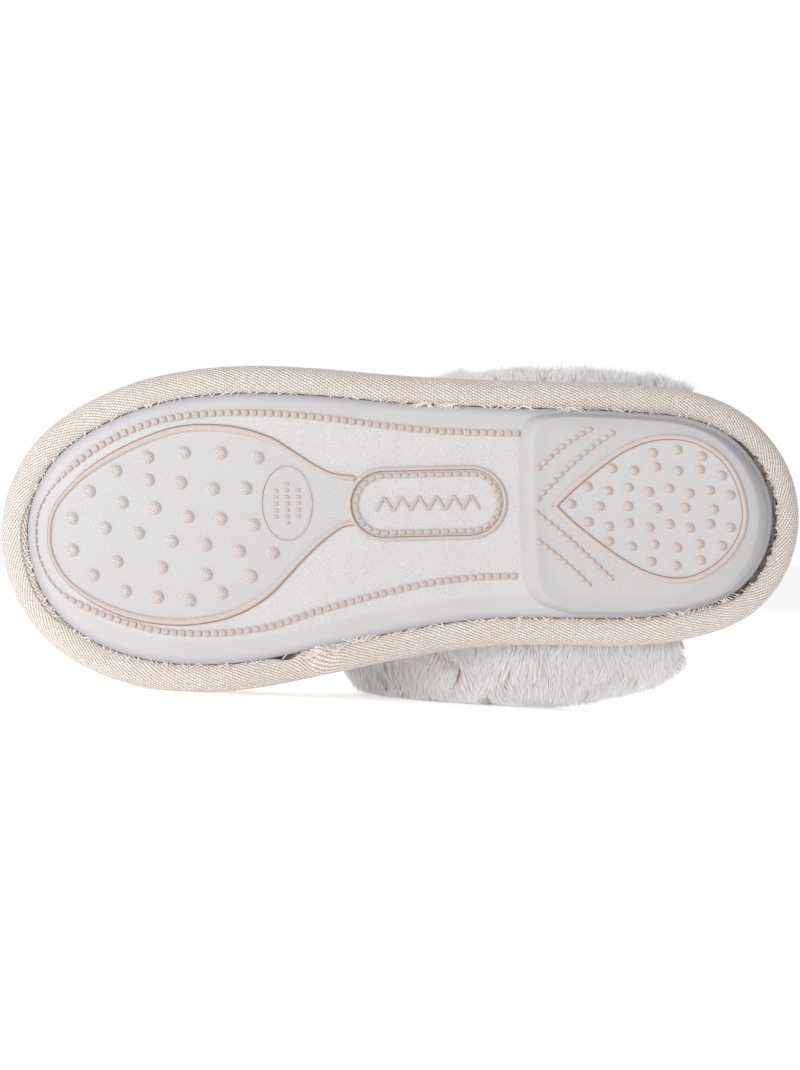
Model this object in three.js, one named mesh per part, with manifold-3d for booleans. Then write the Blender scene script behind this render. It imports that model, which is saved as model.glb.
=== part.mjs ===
// A left scuff slipper with a fur collar, lying on its medial side with the sole upright.
// The shoe is worked out standing: X runs from heel to toe, +Y is the lateral side, +Z is up and the
// tips of the tread studs touch Z = 0. One turn at the end lays it down. Millimetres.
import * as THREE from 'three';
import { ParametricGeometry } from 'three/addons/geometries/ParametricGeometry.js';
import { mergeVertices } from 'three/addons/utils/BufferGeometryUtils.js';
import Module from 'manifold-3d';

const wasm = await Module();
wasm.setup();

// Last and platform
const shoeLength = 260;
const ballWidth = 105;
const heelLift = 5;
const toeSpring = 8;
const toeSwing = 1.2;
const fitGap = 0.3;
const stations = 60;

// Outsole
const plateThickness = 3;
const studHeight = 1.2;
const ribHeight = 1.2;
const ribWidth = 2.2;
const studWidth = 4;
const heelStudWidth = 3.6;
const blockInset = 2.4;
const blockBevel = 1.4;
const blockFront = 89;
const blockFrontBow = 4;
const pillLength = 52;
const pillWidth = 24;
const pillMiddle = 121;
const pillAcross = 6.3;
const pillRib = 1.4;

// Wrapped midsole
const midsoleThickness = 12.5;
const wrapLap = 9;
const wrapRoll = 1.7;
const rimRadius = 3.2;

// Insole
const insoleThickness = 4.5;
const insoleDish = 1.6;

// Upper
const upperWall = 2.4;
const upperInset = 3.4;
const instepHeight = 58;
const upperBulge = 3;
const toeRound = 36;
const sectionPower = 2.5;
const cuffPower = 2.8;
const medialLean = 7;
const throatTop = 132;
const wingEnd = 36;

// Fur cuff
const cuffWidth = 22;
const cuffSkewLateral = 20;
const cuffSkewMedial = 10;
const cuffTaper = 0.3;
const pileLateral = 10.5;
const pileMedial = 27;
const pileTop = 12;
const pileInside = 6;
const pileRim = 7;
const pileHem = 11;
const pileSag = 0.3;
const lockLength = 19;
const lockWidth = 13;
const lockSpacing = 17;

// Resting pose
const restPitch = THREE.MathUtils.degToRad(4.6);

// Half widths as shares of the ball width, on a circle stretched to the length. The two ends are round.
const outlineTable = [
  { along: 0.00, lateral: 0.665, medial: 0.700 },
  { along: 0.06, lateral: 0.636, medial: 0.640 },
  { along: 0.12, lateral: 0.584, medial: 0.566 },
  { along: 0.20, lateral: 0.513, medial: 0.493 },
  { along: 0.30, lateral: 0.466, medial: 0.425 },
  { along: 0.40, lateral: 0.450, medial: 0.395 },
  { along: 0.50, lateral: 0.460, medial: 0.416 },
  { along: 0.60, lateral: 0.498, medial: 0.470 },
  { along: 0.70, lateral: 0.547, medial: 0.543 },
  { along: 0.80, lateral: 0.597, medial: 0.614 },
  { along: 0.90, lateral: 0.648, medial: 0.683 },
  { along: 1.00, lateral: 0.735, medial: 0.765 },
];

// Underside of the plate, as shares of the heel lift and of the toe spring.
const plateTable = [
  { along: 0.00, heel: 1.00, toe: 0.00 },
  { along: 0.34, heel: 1.00, toe: 0.00 },
  { along: 0.48, heel: 0.62, toe: 0.00 },
  { along: 0.60, heel: 0.18, toe: 0.00 },
  { along: 0.70, heel: 0.00, toe: 0.00 },
  { along: 0.80, heel: 0.00, toe: 0.08 },
  { along: 0.90, heel: 0.00, toe: 0.40 },
  { along: 1.00, heel: 0.00, toe: 1.00 },
];

// Ridge of the upper above the platform, as shares of the instep height.
const ridgeTable = [
  { along: 0.00, rise: 1.30 },
  { along: 0.30, rise: 1.20 },
  { along: 0.42, rise: 1.09 },
  { along: 0.54, rise: 0.96 },
  { along: 0.64, rise: 0.80 },
  { along: 0.74, rise: 0.65 },
  { along: 0.84, rise: 0.54 },
  { along: 1.00, rise: 0.46 },
];

// Top line of the upper: shares of the way from the wing's end to the throat, and of the ridge there.
const throatTable = [
  { along: -0.10, rise: -0.12 },
  { along: 0.00, rise: 0.02 },
  { along: 0.18, rise: 0.16 },
  { along: 0.40, rise: 0.30 },
  { along: 0.62, rise: 0.45 },
  { along: 0.80, rise: 0.62 },
  { along: 0.92, rise: 0.80 },
  { along: 1.00, rise: 1.00 },
  { along: 1.05, rise: 1.30 },
];

// Corners of the two teardrop ribs, as shares of the length from the heel and of the ball width from the
// middle line, the lateral side first.
const foreRibTable = [
  { along: 0.938, across: -0.013 },
  { along: 0.915, across: 0.120 },
  { along: 0.850, across: 0.245 },
  { along: 0.745, across: 0.307 },
  { along: 0.688, across: 0.292 },
  { along: 0.650, across: 0.249 },
  { along: 0.616, across: 0.185 },
  { along: 0.590, across: 0.150 },
  { along: 0.555, across: 0.133 },
  { along: 0.565, across: 0.060 },
  { along: 0.555, across: -0.013 },
  { along: 0.590, across: -0.024 },
  { along: 0.621, across: -0.085 },
  { along: 0.650, across: -0.168 },
  { along: 0.688, across: -0.239 },
  { along: 0.770, across: -0.286 },
  { along: 0.855, across: -0.235 },
  { along: 0.915, across: -0.130 },
];
const heelRibTable = [
  { along: 0.309, across: 0.030 },
  { along: 0.270, across: 0.105 },
  { along: 0.210, across: 0.215 },
  { along: 0.165, across: 0.243 },
  { along: 0.115, across: 0.200 },
  { along: 0.077, across: 0.100 },
  { along: 0.070, across: 0.018 },
  { along: 0.080, across: -0.075 },
  { along: 0.118, across: -0.165 },
  { along: 0.163, across: -0.205 },
  { along: 0.212, across: -0.180 },
  { along: 0.270, across: -0.060 },
];

// Rows of studs along the sole: each runs from one share to another, with a bow and a zigzag across.
const foreStudRows = [
  { count: 4, along: 0.812, endAlong: 0.675, across: 0.228, endAcross: 0.216, bow: 0.017, zigzag: 0.000 },
  { count: 5, along: 0.852, endAlong: 0.691, across: 0.186, endAcross: 0.119, bow: -0.010, zigzag: 0.004 },
  { count: 6, along: 0.886, endAlong: 0.682, across: 0.126, endAcross: 0.014, bow: -0.014, zigzag: 0.004 },
  { count: 7, along: 0.909, endAlong: 0.659, across: 0.046, endAcross: -0.082, bow: -0.012, zigzag: 0.003 },
  { count: 5, along: 0.909, endAlong: 0.687, across: -0.052, endAcross: -0.150, bow: -0.014, zigzag: 0.003 },
  { count: 5, along: 0.884, endAlong: 0.724, across: -0.132, endAcross: -0.201, bow: -0.040, zigzag: 0.004 },
];
const heelStudRows = [
  { count: 3, along: 0.184, endAlong: 0.123, across: 0.198, endAcross: 0.183, bow: 0.014, zigzag: 0.000 },
  { count: 6, along: 0.235, endAlong: 0.099, across: 0.148, endAcross: 0.128, bow: 0.010, zigzag: 0.005 },
  { count: 8, along: 0.266, endAlong: 0.089, across: 0.093, endAcross: 0.068, bow: 0.002, zigzag: 0.006 },
  { count: 6, along: 0.287, endAlong: 0.110, across: 0.046, endAcross: 0.022, bow: -0.003, zigzag: 0.002 },
  { count: 8, along: 0.266, endAlong: 0.090, across: -0.015, endAcross: -0.031, bow: -0.004, zigzag: 0.006 },
  { count: 6, along: 0.241, endAlong: 0.101, across: -0.076, endAcross: -0.088, bow: -0.008, zigzag: 0.005 },
  { count: 3, along: 0.189, endAlong: 0.128, across: -0.136, endAcross: -0.136, bow: -0.014, zigzag: 0.000 },
];

// Reads one column of a table at a share of the length, along a smooth curve through its rows.
function readTable(table, key, along) {
  const last = table.length - 1;
  const found = table.findIndex((row) => row.along > along);
  const index = THREE.MathUtils.clamp(found < 0 ? last : found, 1, last);
  const [before, from, to, after] = [index - 2, index - 1, index, index + 1]
    .map((i) => table[THREE.MathUtils.clamp(i, 0, last)]);
  const span = to.along - from.along;
  const share = THREE.MathUtils.clamp((along - from.along) / span, 0, 1);
  const leave = (to[key] - before[key]) / (to.along - before.along) * span;
  const arrive = (after[key] - from[key]) / (after.along - from.along) * span;
  const square = share * share;
  const cube = square * share;
  return (2 * cube - 3 * square + 1) * from[key] + (cube - 2 * square + share) * leave
    + (3 * square - 2 * cube) * to[key] + (cube - square) * arrive;
}

// Lines that run the length of the shoe
const plateUnderside = (x) => studHeight
  + heelLift * readTable(plateTable, 'heel', x / shoeLength)
  + toeSpring * readTable(plateTable, 'toe', x / shoeLength);
const plateTop = (x) => plateUnderside(x) + plateThickness;
const platformTop = (x) => plateTop(x) + fitGap + midsoleThickness;
const middleLine = (x) => -toeSwing * (x / shoeLength) ** 3;

// The platform's outline seen from above, at an angle from the heel through the lateral side.
function outlinePoint(angle) {
  const x = shoeLength * (1 - Math.cos(angle)) / 2;
  const side = Math.sin(angle) >= 0 ? 'lateral' : 'medial';
  const reach = readTable(outlineTable, side, x / shoeLength) * ballWidth;
  return new THREE.Vector2(x, middleLine(x) + reach * Math.sin(angle));
}

// The same outline moved inwards along its normal by an inset.
function shiftedPoint(angle, inset) {
  const step = 0.01;
  const way = outlinePoint(angle + step).sub(outlinePoint(angle - step)).normalize();
  return outlinePoint(angle).add(new THREE.Vector2(way.y, -way.x).multiplyScalar(inset));
}

// The moved outline with both sides of the shoe at one station.
function insetPoint(angle, inset) {
  const spot = shiftedPoint(angle, inset);
  spot.x = (spot.x + shiftedPoint(-angle, inset).x) / 2;
  return spot;
}

// Turns a geometry into a solid for the booleans, with shared points merged and faces outward.
function solid(geometry) {
  const bare = geometry.clone();
  bare.deleteAttribute('normal');
  bare.deleteAttribute('uv');
  const merged = mergeVertices(bare, 1e-3);
  const corners = merged.index.array;
  const points = merged.attributes.position;
  const triangles = [];
  let volume = 0;
  for (let i = 0; i < corners.length; i += 3) {
    const [a, b, c] = [corners[i], corners[i + 1], corners[i + 2]];
    if (a === b || b === c || c === a) continue;
    triangles.push(a, b, c);
    const [p, q, r] = [a, b, c].map((k) => new THREE.Vector3().fromBufferAttribute(points, k));
    volume += p.dot(q.cross(r));
  }
  if (volume < 0) triangles.reverse();
  return new wasm.Manifold(new wasm.Mesh({
    numProp: 3,
    vertProperties: new Float32Array(points.array),
    triVerts: new Uint32Array(triangles),
  }));
}

// A closed skin over a grid of points: rows from one end to the other, each a closed ring.
function skin(point, around, rows) {
  const write = (s, t, target) => {
    const turn = Math.round(s * around) % around / around;
    target.copy(point(turn > 0.5 ? turn - 1 : turn, Math.round(t * rows)));
  };
  return solid(new ParametricGeometry(write, around, rows));
}

// A slab whose rings are insets of the outline. A row gives its inset and the line of its height. The
// first and the last ring close to the middle line of the shoe.
function slab(rows) {
  return skin((s, index) => {
    const row = rows[THREE.MathUtils.clamp(index - 1, 0, rows.length - 1)];
    const closing = index === 0 || index === rows.length + 1;
    const spot = insetPoint(s * 2 * Math.PI, row.inset);
    const dish = closing ? (row.dish ?? 0) * Math.abs(Math.sin(s * 2 * Math.PI)) : 0;
    const y = closing ? middleLine(spot.x) : spot.y;
    return new THREE.Vector3(spot.x, y, row.height(spot.x) - dish);
  }, stations, rows.length + 1);
}

// A prism of a flat shape between two heights.
function prism(shape, low, high, segments) {
  const depth = high - low;
  const options = { depth, bevelEnabled: false, curveSegments: segments };
  return solid(new THREE.ExtrudeGeometry(shape, options).translate(0, 0, low));
}

const joinAll = (parts) => parts.reduce((whole, part) => whole.add(part));

// Outsole
// A rib of four corners in section, standing down from the plate along a closed path.
function rib(path, count, width, height, groundAt) {
  const spots = path.getSpacedPoints(count).slice(0, count);
  const root = [
    { side: -0.5, drop: -plateThickness / 3 },
    { side: -0.34, drop: height },
    { side: 0.34, drop: height },
    { side: 0.5, drop: -plateThickness / 3 },
  ];
  const write = (s, t, target) => {
    const index = Math.round(s * count) % count;
    const way = spots[(index + 1) % count].clone().sub(spots[(index + count - 1) % count]).normalize();
    const corner = root[Math.round(t * 4) % 4];
    const across = new THREE.Vector2(way.y, -way.x).multiplyScalar(corner.side * width);
    const spot = spots[index].clone().add(across);
    target.set(spot.x, spot.y, groundAt(spot.x) - corner.drop);
  };
  return solid(new ParametricGeometry(write, count, 4));
}

function closedPath(table) {
  const corners = table.map((row) => {
    const x = row.along * shoeLength;
    return new THREE.Vector3(x, middleLine(x) + row.across * ballWidth, 0);
  });
  const curve = new THREE.CatmullRomCurve3(corners, true, 'centripetal');
  const flat = (point) => new THREE.Vector2(point.x, point.y);
  return { getSpacedPoints: (count) => curve.getSpacedPoints(count).map(flat) };
}

function stud(x, y, width, ground) {
  const cone = new THREE.CylinderGeometry(width / 2, width * 0.3, studHeight * 1.5, 5);
  cone.rotateX(Math.PI / 2);
  return solid(cone.translate(x, y, ground - studHeight * 0.25));
}

function studRows(rows, width, groundAt) {
  const studs = rows.flatMap((row) => Array.from({ length: row.count }, (_, index) => {
    const share = index / (row.count - 1);
    const x = THREE.MathUtils.lerp(row.along, row.endAlong, share) * shoeLength;
    const swing = row.bow * Math.sin(Math.PI * share) + row.zigzag * (-1) ** index;
    const across = (THREE.MathUtils.lerp(row.across, row.endAcross, share) + swing) * ballWidth;
    return stud(x, middleLine(x) + across, width, groundAt(x));
  }));
  return joinAll(studs);
}

function heelBlock() {
  const ground = () => studHeight;
  const body = slab([
    { inset: wrapLap + blockInset + blockBevel, height: ground },
    { inset: wrapLap + blockInset, height: () => studHeight + blockBevel },
    { inset: wrapLap + blockInset * 0.6, height: (x) => plateUnderside(x) + 0.5 },
  ]);
  const reach = ballWidth / 2;
  const shoulder = blockFront - blockFrontBow * 3;
  const corner = blockFront - blockFrontBow / 2;
  const brow = blockFront - blockFrontBow / 4;
  const front = new THREE.Shape();
  front.moveTo(-wrapLap, -reach);
  front.lineTo(shoulder, -reach);
  front.lineTo(shoulder, -reach * 0.66);
  front.quadraticCurveTo(corner, -reach * 0.64, brow, -reach * 0.46);
  front.quadraticCurveTo(blockFront + blockFrontBow, 0, brow, reach * 0.52);
  front.quadraticCurveTo(corner, reach * 0.70, shoulder, reach * 0.72);
  front.lineTo(shoulder, reach);
  front.lineTo(-wrapLap, reach);
  front.closePath();
  return body.intersect(prism(front, 0, studHeight + heelLift + plateThickness, 6));
}

function pillPath() {
  const half = pillLength / 2 - pillWidth / 2;
  const shape = new THREE.Shape();
  shape.absarc(pillMiddle + half, pillAcross, pillWidth / 2, -Math.PI / 2, Math.PI / 2);
  shape.absarc(pillMiddle - half, pillAcross, pillWidth / 2, Math.PI / 2, Math.PI * 1.5);
  shape.closePath();
  return shape;
}

function outsole() {
  const plate = slab([
    { inset: wrapLap + 0.8, height: plateUnderside },
    { inset: wrapLap, height: (x) => plateUnderside(x) + 0.8 },
    { inset: wrapLap, height: plateTop },
  ]);
  const tread = [
    heelBlock(),
    rib(closedPath(foreRibTable), 54, ribWidth, ribHeight * 0.8, plateUnderside),
    rib(closedPath(heelRibTable), 36, ribWidth, ribHeight * 0.8, () => studHeight),
    rib(pillPath(), 40, pillRib, ribHeight * 0.8, plateUnderside),
    studRows(foreStudRows, studWidth, plateUnderside),
    studRows(heelStudRows, heelStudWidth, () => studHeight),
  ];
  return plate.add(joinAll(tread));
}

// Wrapped midsole
const midsoleRows = (grow) => [
  { inset: wrapLap - fitGap, height: (x) => plateTop(x) + fitGap - grow },
  { inset: wrapLap - fitGap * 2 - grow, height: (x) => plateTop(x) - wrapRoll - grow },
  { inset: wrapLap * 0.55 - grow, height: (x) => plateTop(x) - wrapRoll * 1.3 - grow },
  { inset: wrapLap * 0.16 - grow, height: (x) => plateTop(x) - wrapRoll * 0.5 - grow },
  { inset: -grow, height: (x) => plateTop(x) + wrapRoll * 0.8 },
  { inset: -grow, height: (x) => platformTop(x) - rimRadius },
  { inset: rimRadius * 0.3 - grow, height: (x) => platformTop(x) - rimRadius * 0.3 },
  { inset: rimRadius - grow, height: (x) => platformTop(x) + grow },
];
const midsole = (grow = 0) => slab(midsoleRows(grow));

// Insole
function insole(grow = 0) {
  const edge = upperInset + upperWall + fitGap * 2 - grow;
  const seat = (x) => platformTop(x) + fitGap;
  return slab([
    { inset: edge + 0.6, height: (x) => seat(x) - grow },
    { inset: edge, height: (x) => seat(x) + insoleThickness * 0.5 },
    { inset: edge + 1.6, height: (x) => seat(x) + insoleThickness + grow },
    { inset: edge + 12, height: (x) => seat(x) + insoleThickness * 0.9 + grow, dish: insoleDish },
  ]);
}

// Upper
const upperFoot = (x) => platformTop(x) + fitGap;
const throatSpan = throatTop - wingEnd;

// Height of the ridge over the platform, rounded down to nothing at the tip of the toe.
function ridge(x, shrink) {
  const full = instepHeight * readTable(ridgeTable, 'rise', x / shoeLength) - shrink;
  const tip = shoeLength - upperInset - shrink;
  const share = THREE.MathUtils.clamp((tip - x) / toeRound, 0, 1);
  return full * Math.sqrt(1 - (1 - share) ** 2);
}

// A point on the upper's outer form or, with a shrink, on a form inside it. The turn runs from the
// platform, at 0, to the ridge, at a quarter circle.
function upperPoint(angle, turn, shrink) {
  const spot = insetPoint(angle, upperInset + shrink);
  const power = 2 / sectionPower;
  const rise = Math.sin(turn) ** power;
  const spread = Math.max(Math.cos(turn), 0) ** power;
  const middle = middleLine(spot.x);
  const belly = Math.sign(spot.y - middle) * upperBulge * Math.sin(2 * turn) * Math.abs(Math.sin(angle));
  const y = middle - medialLean * rise + (spot.y - middle) * spread + belly;
  return new THREE.Vector3(spot.x, y, upperFoot(spot.x) + rise * ridge(spot.x, shrink));
}

function upperForm(shrink, depth) {
  const steps = 9;
  return skin((s, index) => {
    const angle = s * 2 * Math.PI;
    const turn = THREE.MathUtils.clamp((index - 2) / steps, 0, 1) * Math.PI / 2;
    const point = upperPoint(angle, turn, shrink);
    if (index < 2) point.z -= depth;
    if (index === 0) point.y = middleLine(point.x);
    return point;
  }, stations, steps + 2);
}

const throatHeight = (x) => {
  const share = (x - wingEnd) / throatSpan;
  return upperFoot(x) + readTable(throatTable, 'rise', share) * ridge(x, 0);
};

// Everything above and behind the top line, lifted clear by a margin.
function throatCut(margin) {
  const steps = 22;
  const high = instepHeight * 2;
  const first = throatTable[0].along;
  const last = throatTable[throatTable.length - 1].along;
  const shape = new THREE.Shape();
  shape.moveTo(-shoeLength, 0);
  for (let i = 0; i <= steps; i += 1) {
    const x = wingEnd + throatSpan * THREE.MathUtils.lerp(first, last, i / steps);
    shape.lineTo(x - margin, throatHeight(x) + margin);
  }
  shape.lineTo(wingEnd + throatSpan * last, high);
  shape.lineTo(-shoeLength, high);
  shape.closePath();
  const wide = new THREE.ExtrudeGeometry(shape, { depth: ballWidth * 2, bevelEnabled: false });
  return solid(wide.rotateX(Math.PI / 2).translate(0, ballWidth, 0));
}

function upperShell(grow) {
  const outside = upperForm(-grow, grow);
  const inside = upperForm(upperWall + grow, upperWall * 2);
  return outside.subtract(inside).subtract(throatCut(grow));
}

// Fur cuff
// The top line, at an angle from the wing's end over the instep. The side is 1 lateral, -1 medial.
function topLinePlace(sweep) {
  const x = wingEnd + throatSpan * Math.sin(sweep);
  const side = Math.cos(sweep) >= 0 ? -1 : 1;
  const rise = THREE.MathUtils.clamp((throatHeight(x) - upperFoot(x)) / ridge(x, 0), 0, 1);
  return { angle: side * Math.acos(1 - 2 * x / shoeLength), turn: Math.asin(rise ** (sectionPower / 2)) };
}

// The cuff's front edge, down on the platform at the sides and forward of the throat over the instep.
function hemPlace(sweep) {
  const along = Math.sin(sweep);
  const side = Math.cos(sweep) >= 0 ? -1 : 1;
  const reach = side > 0 ? cuffSkewLateral : -cuffSkewMedial;
  const skew = reach * Math.abs(Math.sin(2 * sweep));
  const lead = cuffWidth * along ** 3 - skew * along ** 2;
  const x = wingEnd + throatSpan * along + lead;
  return { angle: side * Math.acos(1 - 2 * x / shoeLength), turn: Math.PI / 2 * along ** 8 };
}

const topLinePoint = (sweep) => upperPoint(topLinePlace(sweep).angle, topLinePlace(sweep).turn, 0);
const hemPoint = (sweep) => upperPoint(hemPlace(sweep).angle, hemPlace(sweep).turn, 0);

// The upper's own surface halfway between the two edges of the cuff.
function cuffBacking(sweep) {
  const top = topLinePlace(sweep);
  const hem = hemPlace(sweep);
  return upperPoint((top.angle + hem.angle) / 2, (top.turn + hem.turn) / 2, 0);
}

// A point on the cuff's skin at a sweep along the top line and a turn round the cuff's section, which
// faces outward at a quarter turn. The swell closes the section to nothing at the two ends.
function cuffPoint(sweep, turn, swell) {
  const step = 0.03;
  const top = topLinePoint(sweep);
  const hem = hemPoint(sweep);
  const run = topLinePoint(sweep + step).add(hemPoint(sweep + step));
  run.sub(topLinePoint(sweep - step)).sub(hemPoint(sweep - step)).normalize();
  const down = hem.clone().sub(top);
  const reach = down.length() / 2;
  down.normalize();
  const over = Math.sin(sweep) ** 4;
  const out = new THREE.Vector3().crossVectors(down, run);
  out.z *= over;
  out.normalize();
  const middle = top.clone().add(hem).multiplyScalar(0.5);
  const bow = cuffBacking(sweep).sub(middle).dot(out);
  const pileSide = Math.cos(sweep) >= 0 ? pileMedial : pileLateral;
  const pile = THREE.MathUtils.lerp(pileSide, pileTop, over) + bow;
  const thick = Math.sin(turn) >= 0 ? pile : pileInside - bow;
  const blunt = (value) => Math.sign(value) * Math.abs(value) ** (2 / cuffPower);
  const drop = -blunt(Math.cos(turn));
  const rim = drop > 0 ? THREE.MathUtils.lerp(pileHem, pileRim, over) : pileRim;
  return middle.addScaledVector(down, drop * (reach + rim) * swell)
    .addScaledVector(out, blunt(Math.sin(turn)) * thick * (1 + pileSag * drop) * swell);
}

const cuffSweep = (share) => THREE.MathUtils.degToRad(THREE.MathUtils.lerp(4, 176, share));
const cuffSwell = (share) => (share <= 0 || share >= 1 ? 0 : Math.sin(Math.PI * share) ** cuffTaper);

function cuffBody() {
  const rows = 26;
  return skin((s, index) => {
    const share = (1 - Math.cos(Math.PI * index / rows)) / 2;
    return cuffPoint(cuffSweep(share), s * 2 * Math.PI, cuffSwell(share));
  }, 16, rows);
}

// A number from 0 to 1 that differs from one lock to the next and is the same in every build.
function scatter(index, salt) {
  const value = Math.sin(index * 12.9898 + salt * 78.233) * 43758.5453;
  return value - Math.floor(value);
}

// A tuft that tapers from a root under the skin to a tip that hangs towards the hem.
function lock(root, out, hang, length, width) {
  const side = new THREE.Vector3().crossVectors(out, hang).normalize();
  const rows = [
    { lift: -0.20, drift: -0.20, spread: 0.0 },
    { lift: -0.12, drift: -0.10, spread: 0.34 },
    { lift: -0.02, drift: 0.30, spread: 0.44 },
    { lift: 0.10, drift: 0.72, spread: 0.0 },
  ];
  return skin((s, index) => {
    const row = rows[index];
    const turn = s * 2 * Math.PI;
    return root.clone()
      .addScaledVector(out, row.lift * length + Math.sin(turn) * row.spread * width * 0.6)
      .addScaledVector(hang, row.drift * length)
      .addScaledVector(side, Math.cos(turn) * row.spread * width);
  }, 5, rows.length - 1);
}

function cuffLocks() {
  const locks = [];
  const columns = Math.round(throatSpan * 3 / lockSpacing);
  for (let column = 1; column < columns; column += 1) {
    const share = column / columns;
    const swell = cuffSwell(share);
    const sweep = cuffSweep(share);
    const section = topLinePoint(sweep).distanceTo(hemPoint(sweep)) + pileRim * 2;
    const count = Math.max(Math.round(section / lockSpacing), 2);
    for (let row = 0; row < count; row += 1) {
      const salt = scatter(column, row);
      const turn = Math.PI * (0.12 + 0.76 * (row + 0.5 * (column % 2) + 0.3 * salt) / count);
      const root = cuffPoint(sweep, turn, swell);
      const centre = cuffPoint(sweep, turn, 0);
      const hang = cuffPoint(sweep, turn + 0.1, swell).sub(root).normalize();
      const out = root.clone().sub(centre).normalize();
      locks.push(lock(root, out, hang, lockLength * (0.8 + 0.4 * salt), lockWidth * (0.8 + 0.4 * salt)));
    }
  }
  return joinAll(locks);
}

// What lies past the floor, which touches the platform's medial edge at the ball.
function floorCut() {
  const heights = Array.from({ length: stations }, (_, index) => {
    const spot = insetPoint(-index / stations * 2 * Math.PI, 0);
    return spot.y * Math.cos(restPitch) - spot.x * Math.sin(restPitch);
  });
  const low = Math.min(...heights);
  const box = new THREE.BoxGeometry(shoeLength * 2, ballWidth, instepHeight * 4);
  box.translate(shoeLength / 2, low - ballWidth / 2, instepHeight);
  return solid(box.rotateZ(restPitch));
}

// The largest of the bodies that a cut leaves, without its offcuts.
function mainBody(shape) {
  return shape.decompose().sort((a, b) => b.volume() - a.volume())[0];
}

function furCuff() {
  const cuff = cuffBody()
    .add(cuffLocks())
    .subtract(upperShell(fitGap))
    .subtract(midsole(fitGap))
    .subtract(insole(fitGap))
    .subtract(floorCut());
  return mainBody(cuff);
}

// Scene
function addPiece(parent, name, shape, colour, roughness) {
  const { vertProperties, triVerts } = shape.getMesh();
  const geometry = new THREE.BufferGeometry();
  geometry.setAttribute('position', new THREE.BufferAttribute(vertProperties, 3));
  geometry.setIndex(new THREE.BufferAttribute(triVerts, 1));
  geometry.computeVertexNormals();
  const material = new THREE.MeshStandardMaterial({ color: colour, roughness, metalness: 0 });
  const mesh = new THREE.Mesh(geometry, material);
  mesh.name = name;
  parent.add(mesh);
}

const shoe = new THREE.Group();
addPiece(shoe, 'outsole', outsole(), 0xe4e2e1, 0.55);
addPiece(shoe, 'wrapped_midsole', midsole(), 0xe6dccb, 0.8);
addPiece(shoe, 'insole', insole(), 0xefe9df, 0.95);
addPiece(shoe, 'vamp', upperShell(0), 0xe6dccb, 0.8);
addPiece(shoe, 'fur_cuff', furCuff(), 0xf2f1ee, 1.0);

// Lying down: the toe points to -X, the lateral side up and the sole to -Y.
const lying = new THREE.Matrix4().makeBasis(
  new THREE.Vector3(-1, 0, 0),
  new THREE.Vector3(0, 0, 1),
  new THREE.Vector3(0, 1, 0),
);
lying.premultiply(new THREE.Matrix4().makeRotationY(-restPitch));
shoe.applyMatrix4(lying);

const group = new THREE.Group();
group.add(shoe);
const box = new THREE.Box3().setFromObject(group, true);
group.position.set(-(box.min.x + box.max.x) / 2, -(box.min.y + box.max.y) / 2, -box.min.z);

export default group;
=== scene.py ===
"""A left scuff slipper with a fur collar, lying on its medial side with its sole upright.

The shoe is worked out standing, in millimetres: X runs from heel to toe, +Y is the lateral side and Z is
up. lay_down turns it to its resting place in the frame, in metres.
"""
import math

import bmesh
import bpy
import numpy as np
from mathutils import Matrix, Vector


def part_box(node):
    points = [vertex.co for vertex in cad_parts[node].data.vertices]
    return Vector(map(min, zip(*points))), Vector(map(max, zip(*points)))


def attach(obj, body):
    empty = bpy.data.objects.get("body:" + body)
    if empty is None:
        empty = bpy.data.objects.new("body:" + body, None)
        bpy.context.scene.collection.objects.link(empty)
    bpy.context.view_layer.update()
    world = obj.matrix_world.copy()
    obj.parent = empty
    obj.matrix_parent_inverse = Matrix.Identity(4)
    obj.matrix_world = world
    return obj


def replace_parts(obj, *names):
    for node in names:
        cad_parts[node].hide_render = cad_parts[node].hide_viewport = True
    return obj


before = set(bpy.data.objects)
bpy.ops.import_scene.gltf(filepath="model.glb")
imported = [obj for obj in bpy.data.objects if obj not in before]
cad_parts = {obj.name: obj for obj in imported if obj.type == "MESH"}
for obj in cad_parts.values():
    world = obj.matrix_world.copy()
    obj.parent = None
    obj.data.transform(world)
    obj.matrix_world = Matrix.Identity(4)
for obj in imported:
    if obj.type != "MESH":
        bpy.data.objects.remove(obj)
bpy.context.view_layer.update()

# Last and platform
SHOE_LENGTH = 260.0
BALL_WIDTH = 105.0
HEEL_LIFT = 5.0
TOE_SPRING = 8.0
TOE_SWING = 1.2
FIT_GAP = 0.3
CAD_STATIONS = 60
REST_PITCH = math.radians(4.6)

# Outsole
PLATE_THICKNESS = 3.0
STUD_HEIGHT = 1.2
SPECK_REACH = 1.15
SPECK_RISE = 0.98
RIB_STEP = 0.6
RIB_SEAM = 0.8
BLOCK_INSET = 2.4
BLOCK_BEVEL = 1.6
BLOCK_REAR_BEVEL = 4.4
BLOCK_FRONT_BEVEL = 5.5
PEBBLED = 20.0

# Platform and insole
MIDSOLE_THICKNESS = 12.5
WRAP_LAP = 9.0
FOLD_ANGLES = (2.80, 3.80)
FOLD_WIDTH = 3.9
OVERLAP_STATION = 157.0
HEEL_FRAY = (0.66, 0.30)
RAW_EDGE = (-0.66, 0.60)
INSOLE_DISH = 1.6

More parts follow.
